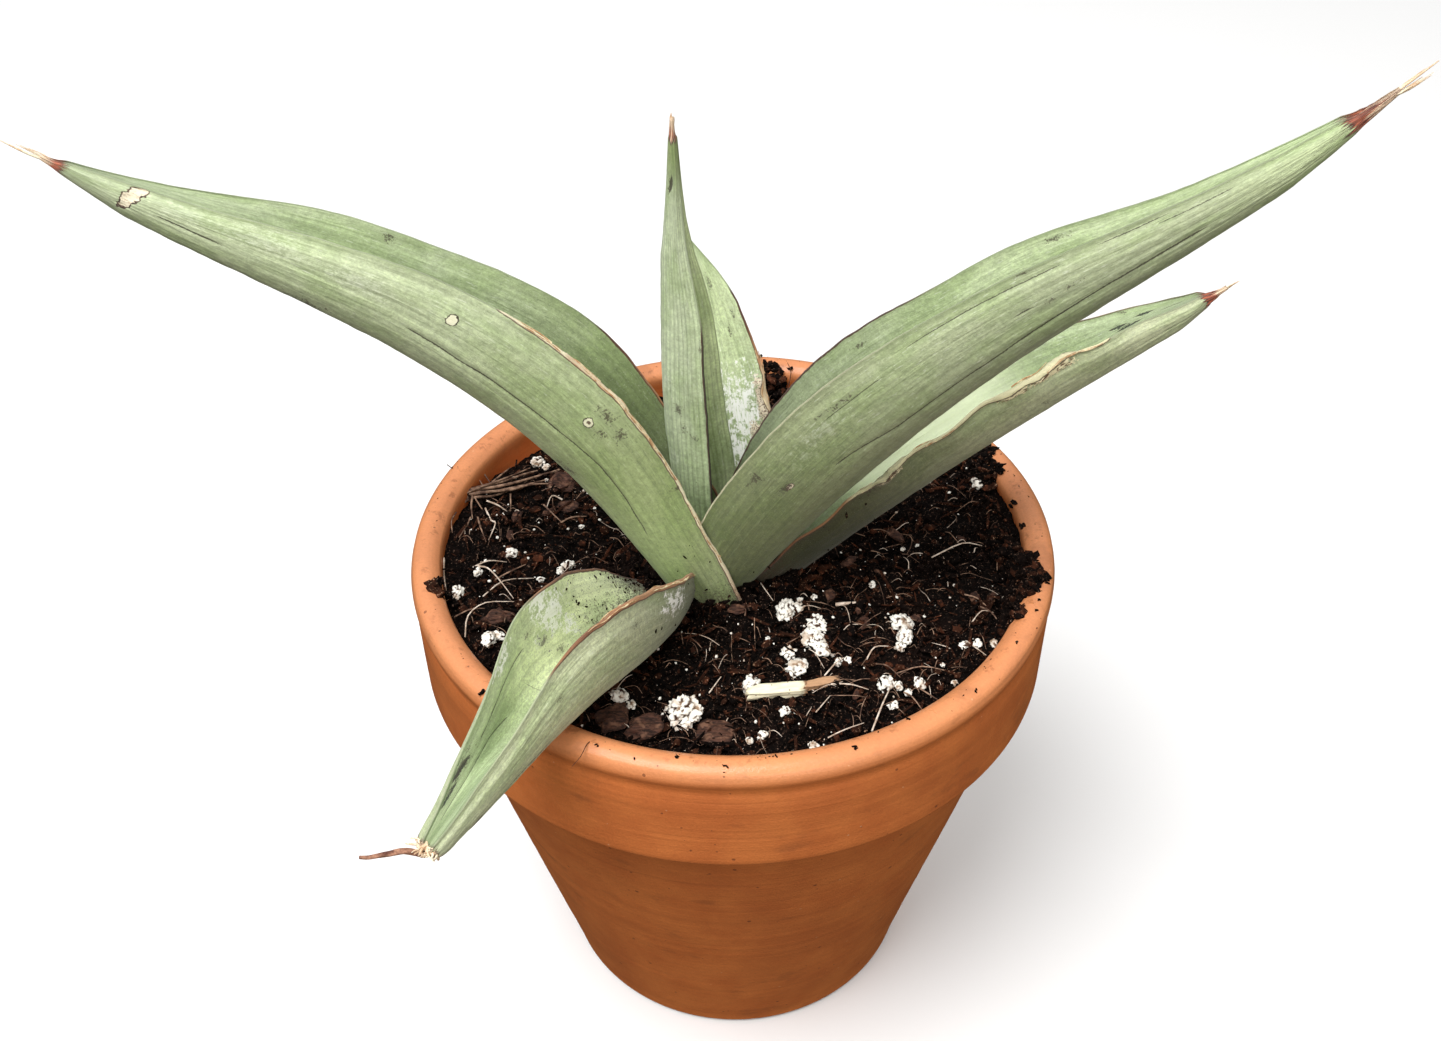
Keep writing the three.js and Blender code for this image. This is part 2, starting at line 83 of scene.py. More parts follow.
# Perlite grains: x, y, radius.
PERLITE = [
    (-7.7, -37.1, 3.4), (2.5, -31.1, 2), (8.4, -13.2, 2.3), (10.6, -12.4, 1.2), (13.3, -17.4, 2.3),
    (12.6, -21.2, 2.2), (13.8, -23.6, 1.4), (8.5, -24, 1.7), (9.6, -27.3, 1.9), (26.9, -18, 2.1),
    (27, -21.6, 1.9), (26, -24, 1.3), (16.2, -26.4, 1), (17.7, -26.4, 0.9), (22.9, -31.8, 1.8), (25, -32, 1.1),
    (28.2, -32, 1.4), (23.7, -36.6, 0.9), (36.2, -24, 1), (38.2, -23.9, 1), (40.6, -24.3, 0.9),
    (15.5, -23.9, 0.5), (26.3, -33.8, 0.8), (23, -8.9, 0.9), (11, -10.6, 0.7), (13.4, -10.9, 0.8),
    (7.4, -36.6, 1), (1.9, -42.6, 0.8), (3.8, -41.4, 0.9), (11.2, -44, 0.9), (33.5, -32.2, 0.7),
    (29, -0.2, 0.5), (31.4, 0.2, 0.5), (32.2, -28.2, 0.5), (36.3, -10.2, 0.4), (5.4, -20.1, 0.5),
    (-10.4, -36, 0.7), (-17.7, -33.2, 1.7), (-16, -34.4, 0.9), (-38.9, -21.3, 1.8), (-37.6, -20, 1.1),
    (-37.4, -0.5, 1.3), (-35.4, 27.4, 1.6), (-33.8, 26.2, 0.9), (-39.8, 10.4, 0.5), (-39.3, 22.3, 0.5),
    (-33.5, 22.6, 0.5), (-27.8, -2.2, 1.2), (-29, -3.6, 0.9), (-32.1, -5.7, 0.8), (-45.2, -10.8, 1.5),
    (-42.4, -5.9, 1), (-24.3, 14.5, 0.4), (-26.1, 7.2, 0.6), (43.5, 14.5, 1.6), (20, 38, 1.4), (-8, 34, 1.7),
    (-20, 40, 1.1), (32, 20, 1.2), (8, 25, 1),
]
# The pale split of wood, and the chips of bark: x, y, length, width, thickness and turn in degrees.
SPLIT_WOOD = [(6.2, -32.8, 8.8, 2, 1.5, 7), (12.9, -31.2, 6.4, 1.4, 1.1, 15)]
BARK = [
    (-3.2, -40.7, 5.6, 4.8, 1.1, -12), (-13.8, -39.6, 6, 3.8, 1.8, 35), (-18.6, -37.4, 6, 4.4, 1.6, 70),
    (-30.4, 20.9, 5, 4.2, 1.8, 60), (28, 4, 4, 1.6, 1, -50), (-38, -15.6, 4.6, 3.2, 1.6, 10),
    (-29, 13.6, 3.6, 2.4, 1, -20), (-37.5, 9.9, 3, 1.6, 1, 80), (0.9, -12.8, 3.4, 2.2, 1, 20),
    (15.8, -10.3, 2.6, 1.8, 1, 70), (19.5, -2.6, 3, 1.6, 0.9, 40), (-12, 36, 7, 3.5, 1.6, 20),
    (24, 33, 6, 3, 1.4, -30),
]
# Dry roots: radius and places. The third number is the lift over the soil, or a height when it is over
# ABSOLUTE_HEIGHT.
FIBRES = {
    "brown": [
        (0.34,
         [(-48, 13.7, 91.6), (-45.5, 15.6, 1.6), (-42.7, 16.8, 1.5), (-38.3, 19.1, 1.4), (-31.3, 25.5, 0.4)]),
        (0.3, [(-48.1, 13, 91), (-45.3, 15, 1.2), (-42.7, 16.1, 1), (-38.3, 18.3, 0.9), (-33.4, 22.6, 0.2)]),
        (0.3,
         [(-46.6, 14.8, 1.8), (-42.8, 17.4, 1.9), (-40.5, 19, 1.6), (-37.5, 21.8, 1.2), (-35.3, 24.7, 0.3)]),
        (0.26,
         [(-46.3, 14.1, 1.4), (-42.6, 15.5, 1.5), (-39.3, 17.2, 1), (-35.6, 19.7, 0.8), (-32, 20.7, 0.2)]),
        (0.3, [(-48, 12.4, 90.8), (-45.4, 14, 0.9), (-42.6, 15.2, 0.6), (-39.9, 17.4, 0.4)]),
        (0.22, [(-47.6, 13.4, 92.2), (-44, 16.2, 2), (-40, 19.6, 2), (-36.5, 24.2, 1.2)]),
        (0.2, [(-43.5, 16.6, 1.6), (-41.2, 20.8, 1.8), (-40.2, 24.9, 0.6)]),
        (0.2, [(-47.5, 22.2, 93.6), (-45.8, 20.2, 92), (-43.9, 17.1, 1)]),
        (0.16, [(-44.6, 21, 2.2), (-42.7, 18.1, 1.2)]),
        (0.2, [(-45.6, 14, 1.2), (-45.4, 11, 1), (-45, 8.5, 0.1)]),
        (0.14, [(-45.1, 13.7, 1), (-43.3, 10.7, 0.2)]), (0.16, [(-39.2, 16.2, 0.9), (-38.7, 11.3, 0.2)]),
        (0.17, [(-44, 8.4, 0.6), (-43.2, 5.4, 0.9), (-42, 2.6, 0.1)]),
        (0.15, [(-45.2, 8, 0.8), (-45.4, 5.6, 1.1), (-46.5, 2.6, 0.4)]),
        (0.14, [(-47.6, 8.4, 1.4), (-48, 5.6, 1.6), (-47.6, 3, 1)]),
        (0.16, [(-33.1, 13.2, 0.9), (-29.7, 9.2, 0.2)]),
        (0.16, [(-30.2, 8.4, 0.4), (-28, 9.8, 0.9), (-25.4, 10.6, 0.3)]),
        (0.16, [(-39.4, -7.2, 0.3), (-37, -5.4, 0.9), (-34.8, -3, 0.3)]),
        (0.12, [(-45, -16.4, 0.3), (-42.6, -15, 0.9), (-40.5, -14, 0.4)]),
        (0.13, [(25.6, -33.9, 0.4), (26.6, -35.8, 1), (28, -38, 0.3)]),
        (0.13, [(27.8, -33, 0.4), (30.7, -36.4, 0.6)]),
        (0.12, [(25, -29.3, 0.4), (28.9, -28.8, 1.1), (33.8, -30.2, 0.4)]),
        (0.14, [(39.5, -15.9, 0.4), (41, -18, 1), (42.2, -20.2, 0.3)]),
        (0.12, [(22, -27, 0.4), (23.6, -28.4, 1), (25.5, -30, 0.3)]),
        (0.13, [(37.6, -12.8, 0.3), (39.4, -14.4, 0.9), (41, -16.5, 0.3)]),
    ],
    "pale": [
        (0.17, [(-43, 13.2, 0.9), (-41, 12.2, 1), (-39.3, 11.2, 0.2)]),
        (0.17, [(-43, 11, 0.8), (-41.6, 7.4, 0.7), (-40.7, 6.3, 0.9), (-41.6, 3, 0.2)]),
        (0.15, [(-30, 15.4, 0.6), (-31.8, 15.6, 1), (-32.6, 13.2, 0.4)]),
        (0.14, [(-43.3, -4.9, 0.4), (-40.8, -3.6, 0.9), (-38, -2.6, 0.3)]),
        (0.15, [(-42.4, -4.8, 0.6), (-40.6, -6, 1.5), (-38.6, -8.4, 1.6), (-36, -11.4, 0.5)]),
        (0.12, [(-41, -11.2, 0.3), (-37.8, -8.2, 1), (-33.2, -5.8, 0.3)]),
        (0.16, [(-48.2, -3.4, 92.4), (-47.9, -6.6, 91.2), (-46.9, -11, 0.3)]),
        (0.13, [(-42.8, -20.6, 0.2), (-42.6, -17, 1.4), (-40.1, -14.3, 2), (-35.6, -13.5, 1.6)]),
        (0.13, [(33.4, -3.1, 0.3), (38.7, -1.1, 1), (42, -1.6, 0.4)]),
        (0.14, [(20.6, -25.9, 0.3), (22, -24, 1.1), (24.3, -23.3, 0.4)]),
        (0.14, [(13.8, -29.4, 0.4), (15.6, -27.6, 1), (17, -26.1, 0.8)]),
        (0.16, [(20, -42, 0.6), (22, -37, 1.4), (23.9, -32.3, 0.9)]),
        (0.13, [(12.8, -43.2, 0.4), (15.8, -41.9, 1), (19, -40, 0.6)]),
        (0.11, [(37.8, -19.5, 0.4), (39.6, -17.7, 1), (41.6, -17.5, 0.3)]),
        (0.12, [(4.6, -7.6, 1.4), (5.2, -9.9, 1.8), (6.5, -12.1, 1)]),
        (0.12, [(36.7, -23.5, 0.4), (39, -27.1, 0.6)]), (0.12, [(-4.1, -32.2, 0.3), (-2.2, -29.2, 0.7)]),
        (0.34, [(16.7, -13, 0.4), (19.9, -13.4, 0.5)]),
        (0.13, [(14.6, -31.8, 0.6), (17.6, -32, 0.9), (20.3, -33, 0.3)]),
        (0.12, [(12, -37.3, 0.3), (14.4, -33.9, 0.6)]), (0.12, [(9, 38.5, 1), (11.5, 41, 1.6), (13, 43.6, 1)]),
    ],
    "dark": [
        (0.09, [(-50.2, 18.6, 95.1), (-48.4, 17.4, 94.3), (-46.4, 16.2, 2.4), (-44.8, 15.6, 1.6)]),
        (0.08, [(-20.6, -45.8, 94.2), (-21.5, -47.6, 95.2), (-22.3, -49.6, 94.9), (-23.6, -50.9, 94.1)]),
        (0.1, [(-3, 44.5, 1.6), (-1, 47.2, 94.6), (1, 49.4, 95.25)]),
        (0.1, [(2, 44, 1.8), (3.6, 46.8, 94.4), (5.4, 48.4, 95.2)]),
        (0.09, [(11, 43, 1.6), (12, 46.5, 94.5), (11.4, 48.9, 95.3)]),
    ],
}
ABSOLUTE_HEIGHT = 50

OUTER, INNER = 0, 1
BLADE = dict(keel_thickness=3, edge_thinning=0.62, keel_sharpness=0.45, tip_fill=(0.7, 0.97), end_width=0.5,
             station=0.5, column=0.33, fewest_stations=130, fewest_columns=90, rounding=5)
DRY_CURL = dict(length=9, heading=183)

# What a leaf has unless its own values say otherwise. far, far_inside_painted_shade and
# foot_tone_and_painted_shade: from and to which share of the length the tint is multiplied, and by what. far is
# painted shade towards the tip, with some of the tip's own tone, and painted light where its factors are above
# 1; far_inside_painted_shade is painted shade on the inner face towards the tip; foot_tone_and_painted_shade is
# painted shade near the soil, with the foot's own greener tone.
# base_shade is painted shade towards the foot, painted light where it is above 1. wider: which half of the
# blade is wider, by how much, and from and to which share. crotch, strip, bloom, cream, dirt and mottle say how
# strong each of them shows; crotch is painted shade in the crotch, and strip is painted light on the inner
# face.
PLAIN_LEAF = dict(
    ribs=0.02, rib_gap=1.45, wider=None, creases=(), rings=(), base_shade=0.62, mottle=1.0, crotch=0.55,
    strip=0, bloom=0.7, cream=0.1, dirt=0, far=(0.84, 0.95, (0.92, 0.92, 0.92)), far_inside_painted_shade=None,
    foot_outside=False, foot_tone_and_painted_shade=(0.05, 0.4, (0.8, 0.86, 0.64)), shadow_line_all_along=False, rim_cream=(232, 226, 190),
    crust_grain=(3.2, 0.9), crust_tints=((110, 78, 54), (232, 222, 194)),
)

# Each leaf's shape, then what time has written on it, with some painted shade. Places on a leaf are shares:
# along it from foot to tip, and across it from one margin (-1) over the keel (0) to the other (1). rims, by
# margin: along, width in mm and how rusty; from about 1 up the rust turns near black, as painted shadow in the
# gap along the margin.
# creases: face, half width in mm, places; a crease 0.3 mm wide and more is a slit, near black as painted shade.
# rings:
# along, across, radius in mm, and 1 for a dot in its middle. marks, by kind: face, along, across, half length
# and half width in mm.
LEAVES = {
    "leaf_centre": dict(
        foot=(-3.7, 2, 83.5), length=84, rise=[72, 83, 90, 92, 92], heading=[164, 167, 170, 173],
        roll=[-8, -4, -1, 4], half_width=[4, 9.2, 9, 7.3, 2.7, 0.5], fold=[69, 74, 79, 83], wave=(0.2, 4),
        ribs=0.05, rib_gap=0.8, dry=0.963, outer=(191, 203, 168), inner=(210, 224, 175), base_shade=0.86,
        crotch=0.0, bloom=0.2, cream=0.34, far=(0.84, 0.95, (0.6, 0.66, 0.4)),
        foot_tone_and_painted_shade=(0.05, 0.5, (0.86, 1.0, 0.64)), foot_outside=True,
        rims={-1: [(0, 0.05, 0.2), (0.15, 0.08, 1.4), (0.3, 0.12, 1.4), (0.58, 0.14, 1.4), (0.64, 0.04, 1),
                   (0.68, 0, 1), (1, 0, 1)],
              1: [(0, 0, 0), (1, 0, 0)]},
        creases=[(OUTER, 0.2, [(0.862, -0.28), (0.885, -0.46), (0.908, -0.5)]),
                 (OUTER, 0.18, [(0.888, -0.5), (0.898, -0.1), (0.904, 0.1)]),
                 (OUTER, 0.12, [(0.87, -0.42), (0.876, -0.2)])],
        marks=dict(soot=[(OUTER, 0.448, -0.525, 1.6, 1.3), (OUTER, 0.408, -0.613, 1.2, 0.9),
                         (OUTER, 0.39, -0.787, 1.1, 0.8), (OUTER, 0.585, -0.95, 1.3, 0.5)],
                   bloom=[(OUTER, 0.5, -0.3, 2, 1.5), (OUTER, 0.33, -0.35, 2.2, 1.6)]),
    ),
    "leaf_left": dict(
        foot=(-6, -4, 81.5), length=124, rise=[63, 59, 44, 35.5, 39], heading=[189, 188, 188, 183],
        roll=[-12, -2, 10, 16], half_width=[13, 16.5, 19.4, 15.2, 7.6, 0.5], fold=[77, 84, 89, 90],
        wider=(1, 0.18, 0.57, 0.99), wave=(0.2, 6), dry=0.975, outer=(190, 202, 162), inner=(185, 199, 158),
        base_shade=0.78, bloom=0.15, foot_tone_and_painted_shade=(0.24, 0.6, (0.74, 0.79, 0.59)), shadow_line_all_along=True,
        rim_cream=(250, 240, 205),
        rims={-1: [(0, 0.34, 0.5), (0.12, 0.4, 0.1), (0.2, 0.33, -0.1), (0.34, 0.34, -0.1), (0.37, 0.38, 0.2),
                   (0.45, 0.38, 0.3), (0.46, 0.28, 0.0), (0.53, 0.2, 0), (0.54, 0, 0), (1, 0, 0)],
              1: [(0, 0.25, 0.9), (0.28, 0.22, 0.5), (0.36, 0.18, 0.9), (0.4, 0.05, 1), (0.44, 0, 0.5),
                  (1, 0, 0.2)]},
        creases=[(OUTER, 0.12,
                  [(0.61, -0.487), (0.573, -0.475), (0.532, -0.463), (0.5, -0.475), (0.45, -0.475),
                   (0.398, -0.487), (0.325, -0.537), (0.265, -0.525), (0.188, -0.475)]),
                 (OUTER, 0.1, [(0.885, -0.52), (0.84, -0.5), (0.8, -0.48)])],
        rings=[(0.568, -0.75, 0.8, 0), (0.383, -0.725, 0.8, 1)],
        marks=dict(scar=[(OUTER, 0.91, -0.58, 0.8, 0.85), (OUTER, 0.905, -0.8, 0.85, 0.85),
                         (OUTER, 0.899, -1.02, 0.75, 0.8)],
                   soot=[(OUTER, 0.375, -0.863, 1.9, 1.5), (OUTER, 0.348, -0.838, 1.6, 1.6),
                         (OUTER, 0.362, -0.74, 1.4, 1.2), (INNER, 0.647, 0.93, 1.3, 0.9),
                         (OUTER, 0.247, -0.963, 0.5, 1.1), (OUTER, 0.7, -0.15, 4, 1.2),
                         (OUTER, 0.33, -0.25, 3, 1.5)],
                   bloom=[(OUTER, 0.853, -0.762, 5, 1.6), (OUTER, 0.775, -0.775, 7, 1.8),
                          (OUTER, 0.667, -0.7, 6, 1.8)]),
    ),
    "leaf_right": dict(
        foot=(-1, -2, 81), length=134, rise=[61, 57, 50.5, 43, 46], heading=[-41, -28, -16, 1],
        roll=[15, 7, -8, -12], half_width=[10, 16.5, 17.8, 12.8, 6.5, 0.5], fold=[74, 84, 89, 90],
        wider=(-1, 0.115, 0.5, 0.84), wave=(0.05, 5), dry=0.95, outer=(172, 182, 144), inner=(188, 202, 158),
        base_shade=0.78, crotch=0.4, bloom=0.12, cream=0.3, far=(0.8, 0.95, (1.25, 1.3, 1.2)),
        foot_tone_and_painted_shade=(0.12, 0.62, (0.45, 0.49, 0.3)), foot_outside=True,
        rims={1: [(0, 0.06, -0.2), (0.19, 0.08, -0.2), (0.46, 0.05, -0.2), (0.54, 0.03, 0), (0.58, 0, 0),
                  (1, 0, 0)],
              -1: [(0, 0.15, 0.9), (0.4, 0.12, 1), (0.5, 0.08, 1), (0.6, 0, 0.2), (1, 0, 0.2)]},
        creases=[(OUTER, 0.11,
                  [(0.82, 0.43), (0.787, 0.425), (0.705, 0.4), (0.59, 0.35), (0.458, 0.363), (0.393, 0.45),
                   (0.36, 0.47)]),
                 (OUTER, 0.09, [(0.66, 0.6), (0.64, 0.613), (0.62, 0.61)]),
                 (OUTER, 0.08, [(0.8, 0.93), (0.76, 0.92), (0.72, 0.93)]),
                 (OUTER, 0.08, [(0.7, 0.9), (0.66, 0.89), (0.6, 0.9), (0.52, 0.89)]),
                 (OUTER, 0.07, [(0.86, 0.85), (0.82, 0.84), (0.77, 0.85)]),
                 (OUTER, 0.07, [(0.5, 0.8), (0.45, 0.79), (0.4, 0.8)])],
        marks=dict(scar=[(OUTER, 0.31, 0.6, 0.85, 0.4)],
                   soot=[(OUTER, 0.29, 0.85, 2.2, 1.1), (OUTER, 0.305, 0.62, 2.2, 0.9),
                         (OUTER, 0.438, 0.825, 3, 0.5), (OUTER, 0.415, 0.85, 2, 0.4),
                         (OUTER, 0.66, 0.988, 2, 0.4), (OUTER, 0.69, 0.613, 1.6, 0.4),
                         (OUTER, 0.665, 0.588, 1.2, 0.4), (INNER, 0.43, -0.887, 2.5, 0.4),
                         (INNER, 0.68, -0.912, 2, 0.4)],
                   bloom=[(OUTER, 0.4, 0.75, 6, 1.5), (OUTER, 0.36, 0.7, 3, 1.5)]),
    ),
    "leaf_lower": dict(
        foot=(6.5, 0, 83.5), length=88, rise=[46, 42, 38.5, 35, 39], heading=[0, 1, 2, 2],
        roll=[0, -1, -5, -12], half_width=[9, 11, 11.5, 11, 6.8, 0.5], fold=[63, 68, 74, 80], wave=(0.45, 7),
        dry=0.955, outer=(200, 207, 168), inner=(166, 181, 139), base_shade=0.8, mottle=1.3, crotch=0.0,
        strip=0.7, foot_tone_and_painted_shade=(0.2, 0.7, (0.1, 0.1, 0.05)), foot_outside=True, shadow_line_all_along=True,
        rim_cream=(252, 246, 200), crust_tints=((104, 70, 42), (252, 242, 200)),
        rims={1: [(0, 0.2, 0.9), (0.26, 0.2, 0.5), (0.31, 0.45, -0.1), (0.38, 0.35, -0.25), (0.42, 0.32, -0.35),
                  (0.56, 0.35, -0.35), (0.6, 0.55, -0.2), (0.7, 0.45, -0.2), (0.74, 0.22, -0.35),
                  (0.79, 0.2, -0.3), (0.8, 0, 0), (1, 0, 0)],
              -1: [(0, 0.1, 0.3), (0.5, 0.1, 0.3), (1, 0.05, 0.4)]},
        creases=[(INNER, 0.09,
                  [(0.36, 0.93), (0.42, 0.88), (0.5, 0.9), (0.57, 0.86), (0.64, 0.9), (0.71, 0.93)]),
                 (INNER, 0.34, [(0.79, -0.55), (0.812, -0.5), (0.835, -0.48)]),
                 (INNER, 0.3, [(0.8, -0.36), (0.83, -0.33), (0.86, -0.3)]),
                 (INNER, 0.32, [(0.84, -0.62), (0.86, -0.58), (0.885, -0.55)]),
                 (INNER, 0.1, [(0.88, -0.3), (0.91, -0.28), (0.94, -0.3)])],
        marks=dict(crust=[(OUTER, 0.69, 1.0, 4, 1.3), (OUTER, 0.62, 0.98, 3, 1), (OUTER, 0.36, 0.98, 2.6, 0.8),
                          (INNER, 0.68, 0.98, 5, 0.9), (INNER, 0.37, 0.97, 3, 0.7)],
                   soot=[(OUTER, 0.65, 0.463, 0.8, 0.7), (OUTER, 0.818, 0.175, 0.8, 0.6),
                         (INNER, 0.83, -0.925, 0.9, 0.7), (INNER, 0.66, -0.1, 5, 1.1),
                         (INNER, 0.6, 0.3, 5, 1.1), (OUTER, 0.34, 0.97, 5, 1.3), (INNER, 0.34, 0.97, 5, 0.9)]),
    ),
    "leaf_front": dict(
        foot=(-10, -4.5, 83.7), length=72, rise=[21.5, 18.5, 17, -6, -18], heading=[259, 244, 238.5, 230],
        roll=[11, 9, 2, -18], half_width=[4.6, 13.2, 16.7, 16.8, 9.8, 2.6], fold=[58, 81, 97, 100],
        wave=(0.3, 4), dry=0.99, outer=(200, 208, 168), inner=(240, 247, 204), base_shade=1.08, mottle=1.7,
        crotch=0.0, bloom=1.8, cream=0.6, dirt=1.0, far=(0.84, 0.95, (0.9, 0.9, 0.9)),
        far_inside_painted_shade=(0.45, 0.85, (0.5, 0.58, 0.48)), foot_tone_and_painted_shade=(0.1, 0.62, (0.28, 0.28, 0.25)),
        foot_outside=True,
        rims={-1: [(0, 0.5, 0.75), (0.1, 0.5, 0.6), (0.45, 0.55, 0.5), (0.6, 0.4, 0.8), (0.66, 0.1, 0.6),
                   (0.7, 0, 0.3), (1, 0, 0.3)],
              1: [(0, 0.3, 0.7), (0.3, 0.3, 0.8), (0.45, 0.25, 0.85), (0.55, 0.08, 0.5), (0.62, 0, 0.2),
                  (1, 0, 0.2)]},
        creases=[(INNER, 0.09, [(0.578, 0.04), (0.61, 0.225), (0.642, 0.5)]),
                 (INNER, 0.12, [(0.7, 0.35), (0.77, 0.46), (0.86, 0.36), (0.955, 0.31)]),
                 (INNER, 0.5, [(0.82, 0.7), (0.85, 0.8), (0.89, 0.9)]),
                 (INNER, 0.4, [(0.87, 0.68), (0.9, 0.76), (0.935, 0.84)]),
                 (INNER, 0.14, [(0.6, 0.7), (0.7, 0.72), (0.8, 0.66)]),
                 (OUTER, 0.14, [(0.7, -0.35), (0.78, -0.4), (0.86, -0.42), (0.96, -0.35)]),
                 (OUTER, 0.12, [(0.8, -0.1), (0.88, -0.12), (0.97, -0.1)])],
        marks=dict(bloom=[(INNER, 0.5, 0.77, 6, 4.4), (INNER, 0.54, 0.98, 3.2, 1.4),
                          (INNER, 0.44, 0.56, 2.6, 2.2), (INNER, 0.698, 0.99, 1.5, 0.7),
                          (INNER, 0.675, 0.888, 2, 0.6), (OUTER, 0.3, -0.8, 5, 2.5),
                          (INNER, 0.68, 0.96, 3.5, 0.8)],
                   soot=[(INNER, 0.54, 0.588, 2, 2), (INNER, 0.503, 0.4, 2, 1.5), (INNER, 0.583, 0.775, 1.6, 1),
                         (INNER, 0.42, 0.3, 3, 1.5), (INNER, 0.86, 0.988, 2.6, 0.5),
                         (INNER, 0.835, 0.675, 3, 0.7), (INNER, 0.907, 0.98, 2.4, 0.5),
                         (OUTER, 0.475, -0.8, 1.1, 0.8), (OUTER, 0.677, -0.75, 0.8, 0.6),
                         (INNER, 0.86, 0.84, 5, 1.6), (INNER, 0.25, 0.3, 14, 9)]),
    ),
    "leaf_back": dict(
        foot=(1.2, 7.5, 83), length=56, rise=[64, 62, 62, 62, 63], heading=[99, 104.5, 112.5, 126],
        roll=[0, 2, 3, 2], half_width=[5, 9.2, 9.2, 8.3, 5.9, 0.5], fold=[51, 54, 56, 60], wave=(0.2, 4),
        dry=1.1, outer=(180, 192, 154), inner=(196, 210, 163), mottle=1.5, crotch=0.2, bloom=1.15,
        crust_grain=(4.2, 3.4), crust_tints=((92, 60, 44), (222, 208, 184)),
        rims={1: [(0, 0.3, 0.3), (0.38, 0.35, 0.3), (0.55, 0.3, 0.3), (0.72, 0.16, 0.9), (0.8, 0.1, 1),
                  (0.84, 0, 1), (1, 0, 0.5)],
              -1: [(0, 0.1, 0.3), (1, 0.05, 0.3)]},
        marks=dict(bloom=[(INNER, 0.44, 0.5, 10, 8), (INNER, 0.34, 0.25, 6, 5), (INNER, 0.2, 0.3, 6, 6)],
                   crust=[(INNER, 0.36, 0.82, 3.2, 2.2), (INNER, 0.47, 0.95, 4.5, 1.2)],
                   soot=[(INNER, 0.745, 0.82, 2, 0.4), (INNER, 0.7, 0.6, 1.4, 0.5),
                         (INNER, 0.33, 0.45, 1.3, 0.7), (INNER, 0.85, 0.4, 2, 0.8)]),
    ),
}
LEAVES = {name: {**PLAIN_LEAF, **values} for name, values in LEAVES.items()}

# Dry threads beyond the tips: the longest one's reach in mm, and how many.
TIP_THREADS = (("leaf_left", 5.2, 5), ("leaf_right", 5.6, 7), ("leaf_lower", 2.2, 5), ("leaf_centre", 0.8, 4))
# Peeling skin: which margin, from and to which share of the length, and how many threads.
PEELING = (("leaf_left", -1, 0.1, 0.5, 26), ("leaf_lower", 1, 0.28, 0.78, 10),
           ("leaf_front", -1, 0.05, 0.62, 16), ("leaf_back", 1, 0.35, 0.6, 6))
# Soil stuck to the leaves: which face, from and to which share of the length, and how many crumbs.
STUCK_SOIL = (
    ("leaf_front", INNER, 0.05, 0.5, 900), ("leaf_front", OUTER, 0.05, 0.4, 60),
    ("leaf_left", OUTER, 0.03, 0.2, 70), ("leaf_right", OUTER, 0.03, 0.17, 60),
    ("leaf_lower", OUTER, 0.06, 0.3, 60), ("leaf_centre", OUTER, 0.1, 0.5, 14),
    ("leaf_back", INNER, 0.3, 0.5, 14),
)
# Where more crumbs than this are stuck, they lie in patches.
PATCHY_COUNT = 100

# The camera: its place in mm from the pot's axis, its axes, and its lens in pixels of the whole picture.
CAMERA_PLACE = (-1.927, -192.131, 257.125)
CAMERA_AXES = ((0.99988539, -0.00970071, -0.01162296), (0.01513925, 0.64069182, 0.76764888),
               (0.0, -0.76773686, 0.64076525))
FOCAL_PIXELS, FRAME_PIXELS, SENSOR = 1500, 1441, 36
# The stage, in metres.
FLOOR_HALF, FLOOR_DROP = 3, 0.0002
BACKDROP_RADIUS, BACKDROP_BEND, BACKDROP_TOP = 2.6, 0.9, 3
# Lamps: place, size, power and tint. Both point at the middle of the plant.
LAMPS = (
    ("window", (-0.3, -0.3, 1.0), 0.7, 11.5, (1.0, 1.0, 1.0)),
    ("fill", (0.22, -1.0, 0.42), 0.9, 4.2, (1.0, 0.95, 0.86)),
)
LAMP_AIM = (0, 0, 0.08)
ROOM_BELOW, ROOM_ABOVE, ROOM_POWER = (0.055, 0.05, 0.03, 1), (1.0, 1.0, 1.0, 1), 0.85


# Small helpers

def place(points):
    """Points in millimetres from the pot's axis, as points of the frame in metres."""
    return (np.asarray(points, float) + AXIS_MM) * MM


def colour(red, green, blue):
    """Linear colour from the usual 0 to 255 screen values."""
    def linear(value):
        value /= 255
        return value / 12.92 if value <= 0.04045 else ((value + 0.055) / 1.055) ** 2.4
    return (linear(red), linear(green), linear(blue), 1)


def through(values, t):
    """Smooth curve through evenly spaced values, read at the shares t."""
    values = np.asarray(values, float)
    last = len(values) - 1
    at = np.clip(t, 0, 1) * last
    i = np.minimum(np.floor(at).astype(int), last - 1)
    f = at - i
    ends = np.concatenate(([2 * values[0] - values[1]], values, [2 * values[-1] - values[-2]]))
    before, a, b, after = (ends[i + k] for k in range(4))
    square = 2 * before - 5 * a + 4 * b - after
    cube = 3 * a - before - 3 * b + after
    return 0.5 * (2 * a + (b - before) * f + square * f**2 + cube * f**3)


def ease(value, low, high):
    """0 below low, 1 above high, and smooth between."""
    share = np.clip((np.asarray(value, float) - low) / (high - low), 0, 1)
    return share * share * (3 - 2 * share)


def direction(rise, heading):
    """Unit vectors from a rise above the level and a heading, in degrees."""
    up, turn = np.radians(rise), np.radians(heading)
    return np.stack((np.cos(up) * np.cos(turn), np.cos(up) * np.sin(turn), np.sin(up)), -1)


